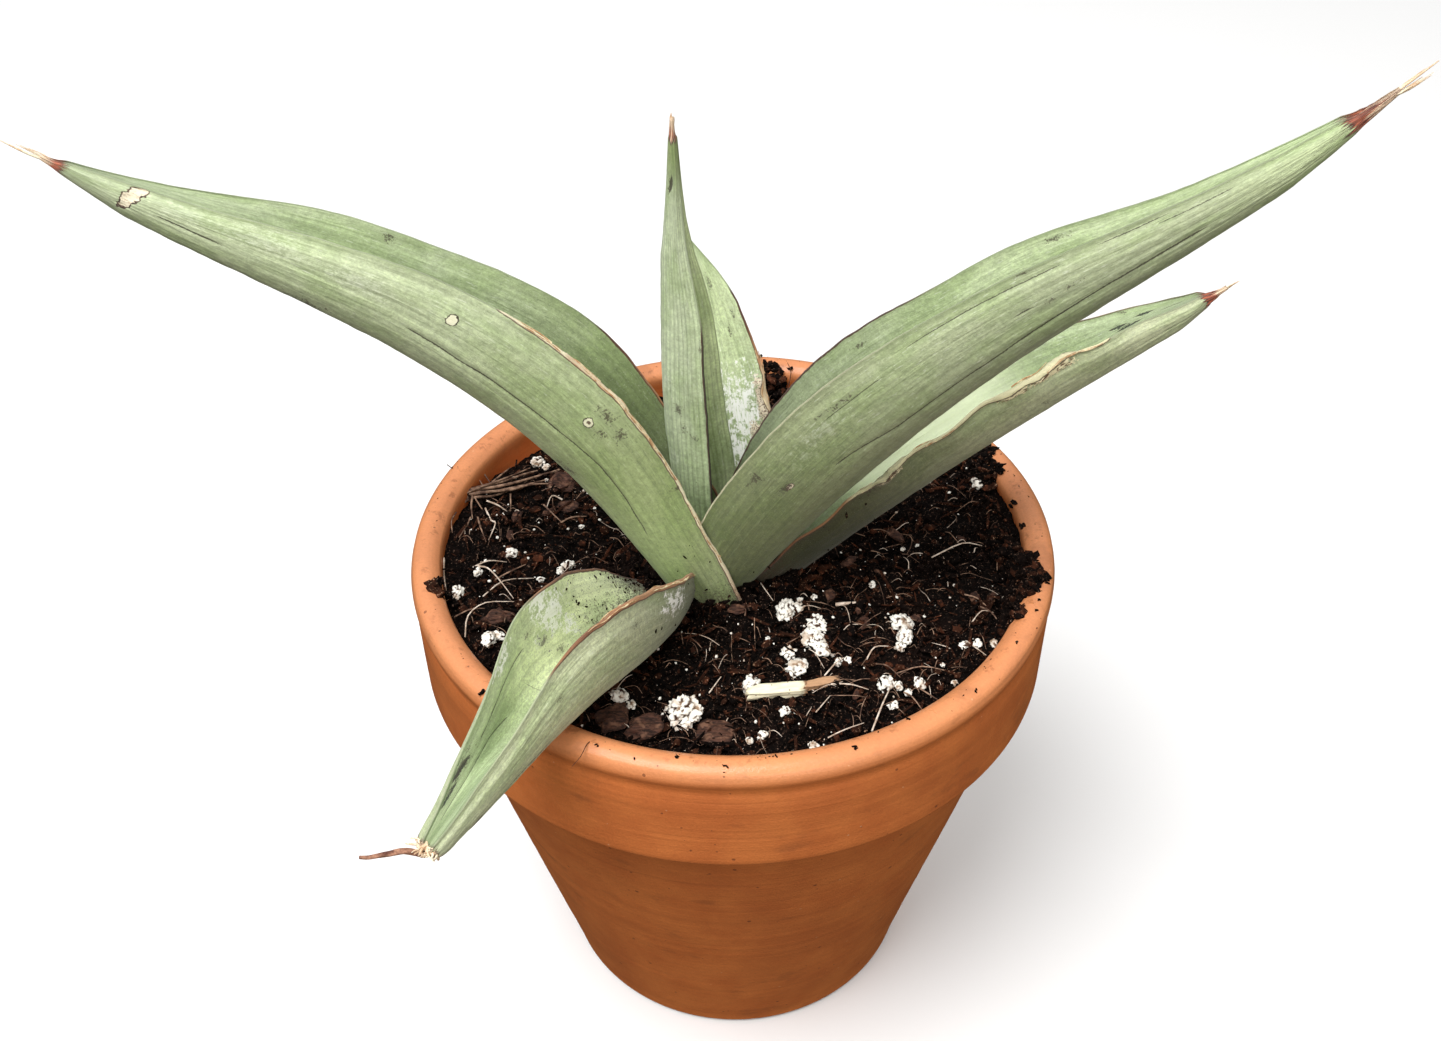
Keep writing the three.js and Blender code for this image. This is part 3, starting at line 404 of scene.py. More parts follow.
def grain(x, y, seed, octaves=3):
    """Smooth random relief over arrays x and y, about -1 to 1."""
    total, height, size = 0, 1, 256
    for octave in range(octaves):
        table = np.random.default_rng([seed, octave]).uniform(-1, 1, (size, size))
        at_x, at_y = x * 2**octave, y * 2**octave
        i, j = np.floor(at_x).astype(int), np.floor(at_y).astype(int)
        u, v = ease(at_x - i, 0, 1), ease(at_y - j, 0, 1)
        low = table[i % size, j % size] * (1 - u) + table[(i + 1) % size, j % size] * u
        high = table[i % size, (j + 1) % size] * (1 - u) + table[(i + 1) % size, (j + 1) % size] * u
        total = total + height * (low * (1 - v) + high * v)
        height /= 2
    return total


def draws(rng, *ranges):
    """One random number from each range."""
    return tuple(rng.uniform(low, high) for low, high in ranges)


def stray(rng, most=1):
    """A random step in any direction."""
    return np.array(draws(rng, *[(-most, most)] * 3))


def random_spot(rng, reach):
    """A random place round the pot's axis, and its turn."""
    far, turn = reach * math.sqrt(rng.random()), rng.uniform(0, FULL_TURN)
    return far * math.cos(turn), far * math.sin(turn), turn


def spun(row, centre, steps, merge, closed=False):
    """A row of places in metres, joined and spun once round an upright axis."""
    bm = bmesh.new()
    verts = [bm.verts.new(at) for at in row]
    following = verts[1:] + (verts[:1] if closed else [])
    edges = [bm.edges.new(pair) for pair in zip(verts, following)]
    bmesh.ops.spin(bm, geom=verts + edges, cent=centre, axis=(0, 0, 1), angle=FULL_TURN, steps=steps,
                   use_merge=True)
    bmesh.ops.remove_doubles(bm, verts=bm.verts, dist=merge)
    return bm


def close_shell(bm):
    """Closes what is still open, leaves no large flat face, and turns all faces outwards."""
    bmesh.ops.holes_fill(bm, edges=[edge for edge in bm.edges if edge.is_boundary], sides=0)
    bmesh.ops.triangulate(bm, faces=[face for face in bm.faces if len(face.verts) > 4])
    bmesh.ops.recalc_face_normals(bm, faces=bm.faces)


def mesh_from(bm, name):
    mesh = bpy.data.meshes.new(name)
    bm.to_mesh(mesh)
    bm.free()
    return mesh


def add_object(name, data):
    thing = bpy.data.objects.new(name, data)
    bpy.context.scene.collection.objects.link(thing)
    return thing


def finish_piece(name, shape, material, smooth=True, replaces=None):
    """Makes a piece from a bmesh or a mesh, names it, hangs it on the root body, and hides the part it
    replaces.
    """
    mesh = mesh_from(shape, name) if isinstance(shape, bmesh.types.BMesh) else shape
    mesh.name = name
    mesh.polygons.foreach_set("use_smooth", [smooth] * len(mesh.polygons))
    mesh.materials.clear()
    mesh.materials.append(material)
    piece = add_object(name, mesh)
    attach(piece, "root")
    if replaces:
        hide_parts(replaces)
    return piece


class Finish:
    """A procedural material. Its tint is built up in coats. A tint is a socket, or three screen values."""

    def __init__(self, name, **sockets):
        self.material = bpy.data.materials.new(name)
        self.material.use_nodes = True
        self.tree = self.material.node_tree
        self.shader = self.tree.nodes["Principled BSDF"]
        for key, value in sockets.items():
            self.shader.inputs[key.replace("_", " ")].default_value = value

    def node(self, kind, inputs=(), **settings):
        node = self.tree.nodes.new("ShaderNode" + kind)
        for key, value in settings.items():
            setattr(node, key, value)
        for key, value in (inputs.items() if isinstance(inputs, dict) else enumerate(inputs)):
            self.feed(node.inputs[key], value)
        return node

    def feed(self, socket, value):
        if isinstance(value, bpy.types.NodeSocket):
            self.tree.links.new(value, socket)
        else:
            socket.default_value = value

    def attribute(self, name):
        return self.node("Attribute", attribute_name=name).outputs[2]

    def place(self):
        """Object coordinates in millimetres, from the pot's axis."""
        at = self.node("TexCoord").outputs["Object"]
        at = self.node("VectorMath", {0: at, "Scale": 1 / MM}, operation="SCALE").outputs[0]
        return self.node("VectorMath", (at, tuple(-AXIS_MM))).outputs[0]

    def stretch(self, vector, *factors):
        return self.node("VectorMath", (vector, factors), operation="MULTIPLY").outputs[0]

    def part(self, vector, axis):
        return self.node("SeparateXYZ", (vector,)).outputs[axis]

    def length(self, vector):
        return self.node("VectorMath", (vector,), operation="LENGTH").outputs[1]

    def maths(self, operation, a, b=0.0):
        return self.node("Math", (a, b), operation=operation).outputs[0]

    def times(self, a, b):
        return self.maths("MULTIPLY", a, b)

    def plus(self, a, b):
        return self.maths("ADD", a, b)

    def less(self, a, b):
        return self.maths("SUBTRACT", a, b)

    def sway(self, pattern, amount):
        """A pattern of 0 to 1, made to sway about zero."""
        return self.times(self.less(pattern, 0.5), amount)

    def ease(self, value, low, high, start=0.0, end=1.0):
        inputs = (value, low, high, start, end)
        return self.node("MapRange", inputs, interpolation_type="SMOOTHSTEP").outputs[0]

    def noise(self, vector, scale=1.0, detail=2.0, roughness=0.5):
        inputs = {"Vector": vector, "Scale": scale, "Detail": detail, "Roughness": roughness}
        return self.node("TexNoise", inputs).outputs[0]

    def spots(self, vector, scale, size):
        """Scattered round spots: 1 inside them."""
        distance = self.node("TexVoronoi", {"Vector": vector, "Scale": scale}).outputs["Distance"]
        return self.maths("LESS_THAN", distance, size)

    def blend(self, share, a, b, kind="MIX"):
        a, b = (colour(*tint) if isinstance(tint, tuple) and len(tint) == 3 else tint for tint in (a, b))
        return self.node("Mix", {0: share, 6: a, 7: b}, data_type="RGBA", blend_type=kind).outputs[2]

    def coat(self, share, tint):
        self.tint = self.blend(share, self.tint, tint)

    def stain(self, share, factors):
        """Multiplies the tint by three factors."""
        self.tint = self.blend(share, self.tint, (*factors, 1), "MULTIPLY")

    def shaded(self, tint, amount):
        """A tint made lighter or darker by a factor near 1."""
        grey = self.node("CombineColor", (amount, amount, amount)).outputs[0]
        return self.blend(1.0, tint, grey, "MULTIPLY")

    def shade(self, *pattern):
        self.tint = self.shaded(self.tint, self.ease(*pattern))

    def bump(self, height, millimetres):
        inputs = {"Height": height, "Distance": millimetres * MM, "Strength": 1.0}
        self.feed(self.shader.inputs["Normal"], self.node("Bump", inputs).outputs[0])

    def done(self, roughness):
        self.feed(self.shader.inputs["Base Color"], self.tint)
        self.feed(self.shader.inputs["Roughness"], roughness)
        return self.material


# Camera, floor and light

def make_camera():
    """It stands in front of the plant and looks down on it."""
    lens = bpy.data.cameras.new("camera")
    lens.sensor_width = SENSOR
    lens.lens = FOCAL_PIXELS / FRAME_PIXELS * SENSOR
    lens.clip_start = 0.01
    camera = add_object("camera", lens)
    turn = Matrix(CAMERA_AXES).transposed().to_4x4()
    camera.matrix_world = Matrix.Translation(place(CAMERA_PLACE)) @ turn
    bpy.context.scene.camera = camera


def make_backdrop(paint):
    """A pale wall that rises from the floor all round, far behind the plant. Only the camera sees it."""
    bends, bend = 12, BACKDROP_BEND
    turns = [math.radians(90 * i / bends) for i in range(bends + 1)]
    inner = BACKDROP_RADIUS - bend
    row = [(inner + bend * math.sin(a), 0, bend - bend * math.cos(a)) for a in turns]
    mesh = mesh_from(spun(row + [(BACKDROP_RADIUS, 0, BACKDROP_TOP)], (0, 0, 0), 64, 1e-5), "backdrop")
    mesh.polygons.foreach_set("use_smooth", [True] * len(mesh.polygons))
    mesh.materials.append(paint)
    backdrop = add_object("backdrop", mesh)
    for rays in ("diffuse", "glossy", "transmission", "shadow"):
        setattr(backdrop, "visible_" + rays, False)


def make_stage():
    """Plain pale floor and the wall behind it. Neither throws its light back at the plant."""
    bm = bmesh.new()
    bmesh.ops.create_grid(bm, x_segments=1, y_segments=1, size=FLOOR_HALF)
    mesh = mesh_from(bm, "floor")
    floor = add_object("floor", mesh)
    floor.location.z = -FLOOR_DROP
    paint = Finish("floor_white", Roughness=0.9)
    paint.tint = (238, 238, 238)
    paint.shade(paint.noise(paint.place(), 0.002, 2), 0, 1, 0.99, 1.01)
    mesh.materials.append(paint.done(0.9))
    floor.visible_diffuse = False
    floor.visible_glossy = False
    make_backdrop(mesh.materials[0])


def make_light():
    """A large soft light from above, a warmer one from the front, and a pale room."""
    for name, at, size, power, warmth in LAMPS:
        lamp = bpy.data.lights.new(name, "AREA")
        lamp.shape = "DISK"
        lamp.size = size
        lamp.energy = power
        lamp.color = warmth
        light = add_object(name, lamp)
        light.location = at
        aim = Vector(LAMP_AIM) - light.location
        light.rotation_euler = aim.to_track_quat("-Z", "Y").to_euler()

    world = bpy.data.worlds.new("room")
    bpy.context.scene.world = world
    world.use_nodes = True
    tree = world.node_tree
    aim = tree.nodes.new("ShaderNodeTexCoord")
    height = tree.nodes.new("ShaderNodeSeparateXYZ")
    ramp = tree.nodes.new("ShaderNodeValToRGB")
    tree.links.new(aim.outputs["Generated"], height.inputs[0])
    tree.links.new(height.outputs[2], ramp.inputs[0])
    tree.links.new(ramp.outputs[0], tree.nodes["Background"].inputs[0])
    for element, position, tint in zip(ramp.color_ramp.elements, (0.0, 0.75), (ROOM_BELOW, ROOM_ABOVE)):
        element.position = position
        element.color = tint
    tree.nodes["Background"].inputs[1].default_value = ROOM_POWER
    bpy.context.scene.view_settings.view_transform = "Standard"


# Clay

def clay_finish():
    """Fired clay: warm orange, mottled, with throwing lines and specks, smoother on the lip and paler there as
    a painted highlight.
    """
    clay = Finish("fired_clay", Specular_IOR_Level=0.42)
    at = clay.place()
    high, reach = clay.part(at, 2), clay.length(clay.stretch(at, 1, 1, 0))
    broad = clay.noise(at, 0.03, 3, 0.55)
    cloud = clay.noise(at, 0.11, 4, 0.6)
    lines = clay.noise(clay.stretch(at, 0.015, 0.015, 0.9), 1, 3, 0.6)
    fine = clay.noise(at, 2.2, 4, 0.7)
    clay.tint = clay.blend(clay.ease(cloud, 0.3, 0.75), (206, 119, 62), (188, 102, 50))
    clay.coat(clay.ease(broad, 0.45, 0.7, 0, 0.4), (166, 90, 46))
    lip = clay.ease(high, 91.5, 94)
    # A paler coat on the lip: painted highlight.
    clay.coat(clay.times(lip, 0.44), (234, 168, 122))
    clay.shade(lines, 0.2, 0.8, 0.94, 1.05)
    clay.shade(fine, 0.25, 0.75, 0.93, 1.06)

    # Damp clay on the inside just over the soil, its redder coat partly painted warm light, smears of soil on
    # the lip's inner edge, and old grime.
    inside = clay.times(clay.ease(reach, 49.2, 48.6), clay.ease(high, 93.5, 90))
    inside = clay.times(inside, clay.ease(high, 78, 82))
    damp_and_warm_light = clay.times(inside, clay.ease(clay.noise(at, 0.25, 3), 0.3, 0.6, 0.05, 0.5))
    clay.coat(damp_and_warm_light, (206, 92, 34))
    smear = clay.ease(clay.noise(at, 0.5, 4, 0.7), 0.54, 0.68, 0, 0.5)
    smear = clay.times(smear, clay.ease(reach, 52.6, 50.8))
    smear = clay.times(smear, clay.ease(high, 92.6, 94.2))
    clay.coat(smear, (140, 78, 44))
    grime = clay.noise(clay.stretch(at, 0.09, 0.09, 0.16), 1, 4, 0.6)
    clay.coat(clay.ease(grime, 0.58, 0.72, 0, 0.3), (108, 62, 38))

    speck_size = clay.ease(clay.noise(at, 0.35, 1), 0.45, 0.75, 0.02, 0.15)
    clay.coat(clay.times(clay.spots(at, 0.42, speck_size), 0.6), (80, 44, 30))
    clay.coat(clay.times(clay.spots(clay.stretch(at, 1, 1, 1.3), 0.23, 0.04), 0.5), (232, 182, 142))
    clay.bump(clay.plus(clay.times(fine, 0.5), clay.times(lines, 0.8)), 0.12)
    return clay.done(clay.less(clay.ease(cloud, 0.2, 0.8, 0.52, 0.64), clay.times(lip, 0.26)))


def inner_radius(z):
    """Radius of the pot's inner wall: tapered, and upright inside the lip."""
    share = (np.asarray(z, float) - POT["floor"]) / (POT["inner_top_height"] - POT["floor"])
    top = POT["lip_radius"] - 2 * POT["lip_round"]
    return POT["inner_base"] + (top - POT["inner_base"]) * np.minimum(share, 1)


def arc(centre, radius, start, end, steps):
    """Points of an arc in the outline's plane, from one angle to another in degrees."""
    turns = [math.radians(start + (end - start) * i / steps) for i in range(steps + 1)]
    return [(centre[0] + radius * math.cos(a), centre[1] + radius * math.sin(a)) for a in turns]


def pot_outline():
    """Outline of the pot's wall and floor, as radius and height."""
    collar_bottom = POT["height"] - POT["collar_height"]
    edge, step, lip = POT["collar_edge"], POT["collar_step"], POT["lip_round"]
    lip_height = POT["height"] - lip
    base_edge, body = POT["base_edge"], POT["body_radius"]
    corner = POT["floor"] + POT["floor_corner"]
    hole, hole_edge = POT["drain_radius"], POT["drain_edge"]
    groove = POT["lip_radius"] - POT["groove_depth"]
    top, wall = POT["inner_top_height"], float(inner_radius(corner))
    return [
        (hole, hole_edge), (hole + hole_edge, 0),
        *arc((POT["base_radius"] - base_edge, base_edge), base_edge, -90, 0, 6),
        (body, collar_bottom - step), (body + 0.5 * step, collar_bottom - 0.35 * step),
        (body + step, collar_bottom),
        *arc((POT["collar_radius"] - edge, collar_bottom + edge), edge, -80, 0, 6),
        (POT["collar_radius"], lip_height - 2 * lip), (groove + 0.15, lip_height - 1.15 * lip),
        (groove, lip_height - 0.85 * lip),
        *arc((LIP_MIDDLE, lip_height), lip, -18, 180, 18),
        (float(inner_radius(top)), top - 1), (wall, corner), (wall - 1.3, corner - 2.3),
        (POT["inner_base"] - POT["floor_corner"], POT["floor"]),
        (hole + hole_edge, POT["floor"]), (hole, POT["floor"] - hole_edge),
    ]


def make_pot():
    """The outline with points every few millimetres, spun round the pot's axis and left slightly uneven."""
    outline, gap, swell, ring = pot_outline(), 1.6, 0.12, 0.05
    row = []
    for (r0, z0), (r1, z1) in zip(outline, outline[1:] + outline[:1]):
        steps = max(1, round(math.hypot(r1 - r0, z1 - z0) / gap))
        row += [place((r0 + (r1 - r0) * i / steps, 0, z0 + (z1 - z0) * i / steps)) for i in range(steps)]
    axis = place((0, 0, 0))
    bm = spun(row, axis, 200, 1e-7, closed=True)
    bmesh.ops.recalc_face_normals(bm, faces=bm.faces)
    for vert in bm.verts:
        offset = vert.co - Vector(axis)
        turn = math.atan2(offset.y, offset.x)
        height = offset.z / MM
        if 1 < height < POT["height"] - 1:
            around = Vector((math.cos(turn) * 1.5, math.sin(turn) * 1.5, height * 0.03))
            rings = noise.noise((height * 0.55, math.cos(turn) * 0.3, math.sin(turn) * 0.3))
            inwards = swell * (noise.noise(around) - 1) + ring * (rings - 1)
            radius = math.hypot(offset.x, offset.y)
            vert.co.x += offset.x / radius * inwards * MM
            vert.co.y += offset.y / radius * inwards * MM
    finish_piece("clay_pot", bm, clay_finish(), replaces="pot")


# Soil

def soil_height(x, y):
    """Height of the soil over a place: level at the crown, banked up unevenly at the wall, and lumpy."""
    x, y = np.asarray(x, float), np.asarray(y, float)
    walls = np.array(SOIL["wall_heights"], float)
    at = (np.arctan2(y, x) / FULL_TURN % 1) * len(walls)
    i = np.floor(at).astype(int) % len(walls)
    share = ease(at % 1, 0, 1)
    wall = walls[i] + (walls[(i + 1) % len(walls)] - walls[i]) * share
    reach = np.minimum(1, np.hypot(x, y) / inner_radius(SOIL["crown_height"]))
    lumps = np.sin(0.37 * x + 1.3) * np.cos(0.41 * y - 0.4) + 0.6 * np.sin(0.83 * x - 0.61 * y + 2)
    level = SOIL["crown_height"] + (wall - SOIL["crown_height"]) * reach**2
    return level + SOIL["roughness"] * lumps * (1 - reach**4)


def soil_top(x, y):
    return float(soil_height(x, y))


def earth_finish(name, dark, mid, light):
    """Moist potting soil: near black, with browner bits and small pale flecks."""
    earth = Finish(name, Specular_IOR_Level=0.06)
    at = earth.place()
    bits = earth.noise(at, 0.9, 4, 0.65)
    flecks = earth.noise(at, 2.6, 3, 0.7)
    patch = earth.noise(at, 0.12, 2)
    earth.tint = earth.blend(earth.ease(bits, 0.5, 0.75), dark, mid)
    earth.coat(earth.ease(patch, 0.5, 0.7, 0, 0.4), mid)
    earth.coat(earth.ease(flecks, 0.6, 0.7, 0, 0.85), light)
    earth.bump(earth.plus(bits, flecks), 0.25)
    return earth.done(earth.ease(flecks, 0.3, 0.7, 0.95, 0.6))


def make_soil():
    """The filling's surface, closed below: a row of points spun round the axis and then made lumpy."""
    rings, sectors, reach, beyond_wall = 90, 400, 47, 60
    wall_gap, underside, taper = 0.05, 78, 0.985
    axis = place((0, 0, 0))
    bm = spun([place((reach * i / rings, 0, 0)) for i in range(rings + 1)], axis, sectors, 2e-6)
    bm.verts.ensure_lookup_table()
    local = np.array([vert.co for vert in bm.verts]) / MM - AXIS_MM
    turn = np.arctan2(local[:, 1], local[:, 0])
    far = np.hypot(local[:, 0], local[:, 1]) / reach
    rim = soil_height(beyond_wall * np.cos(turn), beyond_wall * np.sin(turn))
    radius = far * (inner_radius(rim) - wall_gap)
    x, y = radius * np.cos(turn), radius * np.sin(turn)
    mounds = grain(x / 5, y / 5, 3, 2)
    clods = grain(x / 1.9, y / 1.9, 7, 3)
    crumbs = grain(x / 0.75, y / 0.75, 1, 2)
    z = soil_height(x, y) + 0.55 * mounds + 0.75 * np.abs(clods) - 0.45 + 0.22 * crumbs
    for vert, co in zip(bm.verts, place(np.stack((x, y, z), -1))):
        vert.co = co
    bmesh.ops.recalc_face_normals(bm, faces=bm.faces)
    border = [edge for edge in bm.edges if edge.is_boundary]
    made = bmesh.ops.extrude_edge_only(bm, edges=border)["geom"]
    for vert in (item for item in made if isinstance(item, bmesh.types.BMVert)):
        offset = vert.co - Vector(axis)
        vert.co = Vector(axis) + Vector((offset.x * taper, offset.y * taper, underside * MM))
    close_shell(bm)
    look = earth_finish("potting_soil", (8, 5, 4), (30, 17, 12), (124, 98, 82))
    finish_piece("soil_surface", bm, look, smooth=False, replaces="soil")


def chunk_mesh(jitter, seed):
    """A small rough chunk, from a ball with its corners pushed in and out."""
    rng = random.Random(seed)
    bm = bmesh.new()
    bmesh.ops.create_icosphere(bm, subdivisions=1, radius=MM)
    for vert in bm.verts:
        vert.co *= 1 + jitter * (rng.random() - 0.5)
    return mesh_from(bm, "chunk")


def scatter(bm, mesh, at, size, turn):
    """Adds a copy of a small mesh at a place in millimetres, sized and turned."""
    matrix = Matrix.LocRotScale(Vector(place(at)), Euler(turn), Vector(size))
    mesh.transform(matrix)
    bm.from_mesh(mesh)
    mesh.transform(matrix.inverted())


def rest_height(x, y):
    """Height at which a loose bit comes to rest: on the soil, or on the pot's rounded lip."""
    reach, lip = math.hypot(x, y), POT["lip_round"]
    if reach < LIP_MIDDLE - lip:
        return soil_top(x, y)
    return POT["height"] - lip + math.sqrt(max(0.0, lip**2 - (reach - LIP_MIDDLE) ** 2))


def make_crumbs():
    """Crumbs and slivers of bark and peat lying on the soil, and a few spilled on the pot's lip."""
    rng = random.Random(5)
    chunks = [chunk_mesh(0.9, seed) for seed in range(6)]
    groups = {"dark": bmesh.new(), "brown": bmesh.new()}
    for _ in range(STREWN["crumbs"]):
        x, y, _turn = random_spot(rng, STREWN_REACH["crumbs"])
        size = 0.2 + 0.7 * rng.random() ** 3
        sliver = rng.random() < 0.5
        shape = (size * 3, size * 0.38, size * 0.32) if sliver else (size * 1.1, size * 0.8, size * 0.6)
        lean = draws(rng, (-0.5, 0.5), (-0.6, 0.6), (0, FULL_TURN))
        patch = noise.noise((x * 0.09, y * 0.09, 4.0))
        group = "brown" if rng.random() < 0.4 + 0.5 * patch else "dark"
        z = soil_top(x, y) + 0.1 + 0.5 * size
        scatter(groups[group], rng.choice(chunks), (x, y, z), shape, lean)
    for x, y, reach, top, count in HEAPS:
        for _ in range(count):
            turn, far = rng.uniform(0, FULL_TURN), math.sqrt(rng.random())
            at_x, at_y = x + reach * far * math.cos(turn), y + reach * far * math.sin(turn)
            size = rng.uniform(0.3, 0.95)
            ground = rest_height(at_x, at_y)
            z = ground + max(0.0, top - ground) * (1 - far**2) * rng.uniform(0.4, 1)
            group = "brown" if rng.random() < 0.25 else "dark"
            scatter(groups[group], rng.choice(chunks), (at_x, at_y, z), (size * 1.5, size * 0.9, size * 0.8),
                    (*draws(rng, (-0.6, 0.6), (-0.6, 0.6)), turn * 3))
    specks = [draws(rng, (0, 360), (-1.6, 1.9), (0.1, 0.24)) for _ in range(STREWN["lip_specks"])]
    for turn, out, size in SPILLED + specks:
        for _ in range(3 if size > 0.3 else 1):
            reach = LIP_MIDDLE + out + rng.uniform(-0.25, 0.25)
            around = math.radians(turn) + rng.uniform(-0.006, 0.006)
            bit = size * rng.uniform(0.35, 0.7)
            x, y = reach * math.cos(around), reach * math.sin(around)
            scatter(groups["dark"], rng.choice(chunks), (x, y, rest_height(x, y) + 0.3 * bit),
                    (bit * 1.4, bit * 0.8, bit * 0.5), (0, 0, rng.uniform(0, 6)))
    looks = {
        "dark": earth_finish("peat_crumb", (9, 5, 4), (30, 17, 12), (132, 104, 88)),
        "brown": earth_finish("bark_crumb", (42, 23, 15), (98, 56, 38), (188, 150, 120)),
    }
    for name, bm in groups.items():
        finish_piece("soil_crumbs_" + name, bm, looks[name], smooth=False)


def perlite_finish():
    """Chalky white, with brown soil in the pits between the knobs."""
    white = Finish("perlite_white", Specular_IOR_Level=0.3)
    at = white.place()
    depth = white.plus(white.attribute("pit"), white.times(white.noise(at, 1.4, 3, 0.6), 0.3))
    white.tint = white.blend(white.ease(depth, 0.72, 0.94), (252, 248, 238), (66, 42, 30))
    white.coat(white.ease(white.noise(at, 0.5, 3), 0.48, 0.66, 0, 0.7), (176, 146, 118))
    white.bump(white.noise(at, 5, 3, 0.6), 0.15)
    return white.done(white.ease(depth, 0.3, 0.9, 0.75, 0.95))


def make_perlite():
    """White burst grains, knobbly like cauliflower, half sunk in the soil, and white dust between them."""
    rng = random.Random(11)
    bm = bmesh.new()
    pit = bm.verts.layers.float.new("pit")
    for x, y, radius in PERLITE:
        radius *= 0.88 if radius > 2.4 else 0.96
        detail = 5 if radius > 2.1 else (4 if radius > 0.8 else 3)
        made = bmesh.ops.create_icosphere(bm, subdivisions=detail, radius=1)["verts"]
        at = Vector(place((x, y, soil_top(x, y) + 0.3 * radius + 0.3)))
        stretch = Vector(draws(rng, (0.75, 1.1), (0.85, 1.2), (0.52, 0.72)))
        shift = Vector(draws(rng, *[(0, 90)] * 3))
        knobs = max(1.2, 1.1 * radius)
        for vert in made:
            way = vert.co.normalized()
            lump = 1 + 0.38 * noise.noise(way * 1.4 + shift)
            near = noise.voronoi(way * knobs * 1.15 + shift)[0][0]
            fine = noise.voronoi(way * knobs * 2.6 + shift)[0][0]
            size = radius * lump * (1.08 - 0.42 * near**1.4 - 0.13 * fine)
            vert[pit] = near * 0.85 + fine * 0.25
            vert.co = at + Vector([way[k] * stretch[k] * size * MM for k in range(3)])
    specks = [chunk_mesh(0.5, 40 + seed) for seed in range(3)]
    for _ in range(STREWN["perlite_dust"]):
        x, y, turn = random_spot(rng, STREWN_REACH["perlite_dust"])
        size = 0.07 + 0.28 * rng.random() ** 3.5
        at = (x, y, soil_top(x, y) + 0.55 + size)
        scatter(bm, rng.choice(specks), at, (size, size * 0.8, size * 0.7), (0, 0, turn))
    finish_piece("perlite_grains", bm, perlite_finish())


def bark_finish():
    """Layered brown bark with paler worn spots."""
    bark = Finish("bark_brown", Specular_IOR_Level=0.3)
    at = bark.place()
    layers = bark.noise(bark.stretch(at, 0.5, 2.2, 3), 1, 4, 0.7)
    bark.tint = bark.blend(bark.ease(layers, 0.35, 0.65), (36, 20, 14), (84, 52, 38))
    bark.coat(bark.ease(bark.noise(at, 0.8, 3), 0.52, 0.68, 0, 0.7), (124, 88, 68))
    bark.bump(layers, 0.3)
    return bark.done(bark.ease(layers, 0.3, 0.7, 0.85, 0.6))


def wood_finish():
    """Fresh cream wood with its grain, tan at the right-hand end, and a few brown dots."""
    wood = Finish("split_wood", Specular_IOR_Level=0.3)
    at = wood.place()
    streaks = wood.noise(wood.stretch(at, 0.35, 3, 3), 1, 3, 0.6)
    tan = wood.ease(wood.plus(wood.part(at, 0), wood.times(wood.noise(at, 0.9, 2), 3)), 11.4, 12.2)
    wood.tint = wood.blend(tan, (244, 236, 204), (188, 146, 110))
    wood.shade(streaks, 0.3, 0.7, 0.82, 1.06)
    wood.coat(wood.times(wood.spots(at, 0.9, 0.13), 0.7), (90, 60, 42))
    wood.bump(streaks, 0.2)
    return wood.done(wood.ease(streaks, 0.3, 0.7, 0.6, 0.8))


def make_bark():
    """Flat chips of bark, and one pale split of wood."""
    rng = random.Random(23)
    chips = [(*chip, True) for chip in SPLIT_WOOD] + [(*chip, False) for chip in BARK]
    for _ in range(STREWN["bark_bits"]):
        x, y, _turn = random_spot(rng, STREWN_REACH["bark_bits"])
        length = rng.uniform(1.2, 3)
        chips.append((x, y, length, length * rng.uniform(0.3, 0.6), *draws(rng, (0.4, 0.9), (0, 180)), False))
    groups = {False: bmesh.new(), True: bmesh.new()}
    for x, y, length, width, thick, turn, wood in chips:
        chip = bmesh.new()
        if wood:
            bmesh.ops.create_cube(chip, size=1)
            bmesh.ops.subdivide_edges(chip, edges=chip.edges, cuts=7, use_grid_fill=True)
        else:
            bmesh.ops.create_icosphere(chip, subdivisions=4 if length > 4 else 3, radius=0.62)
        shift = rng.uniform(0, 99)
        at = Vector(place((x, y, soil_top(x, y) + 0.35 + (0.4 if wood else 0.15) * thick)))
        spin = Euler((*draws(rng, (-0.15, 0.15), (-0.12, 0.12)), math.radians(turn))).to_matrix()
        for vert in chip.verts:
            co = vert.co
            rough = noise.noise((co.x * 2.5, co.y * 3 + shift, co.z * 2))
            if not wood:
                rough = 1.1 * rough - 0.5 * noise.voronoi((co.x * 3, co.y * 3 + shift, co.z * 3))[0][0]
            ends = 1 - 0.55 * (2 * abs(co.x)) ** 3 * (0.6 + 0.8 * noise.noise((shift, co.x * 3, 1.7)))
            local = Vector((co.x * length * (1 + 0.25 * rough), co.y * width * ends * (1 + 0.3 * rough),
                            co.z * thick * (1 + 0.5 * rough) + 0.12 * length * (0.25 - co.x**2) * 0.5))
            vert.co = at + (spin @ local) * MM
        mesh = mesh_from(chip, "chip")
        groups[wood].from_mesh(mesh)
        bpy.data.meshes.remove(mesh)
    finish_piece("bark_chips", groups[False], bark_finish(), smooth=False)
    finish_piece("wood_split", groups[True], wood_finish())


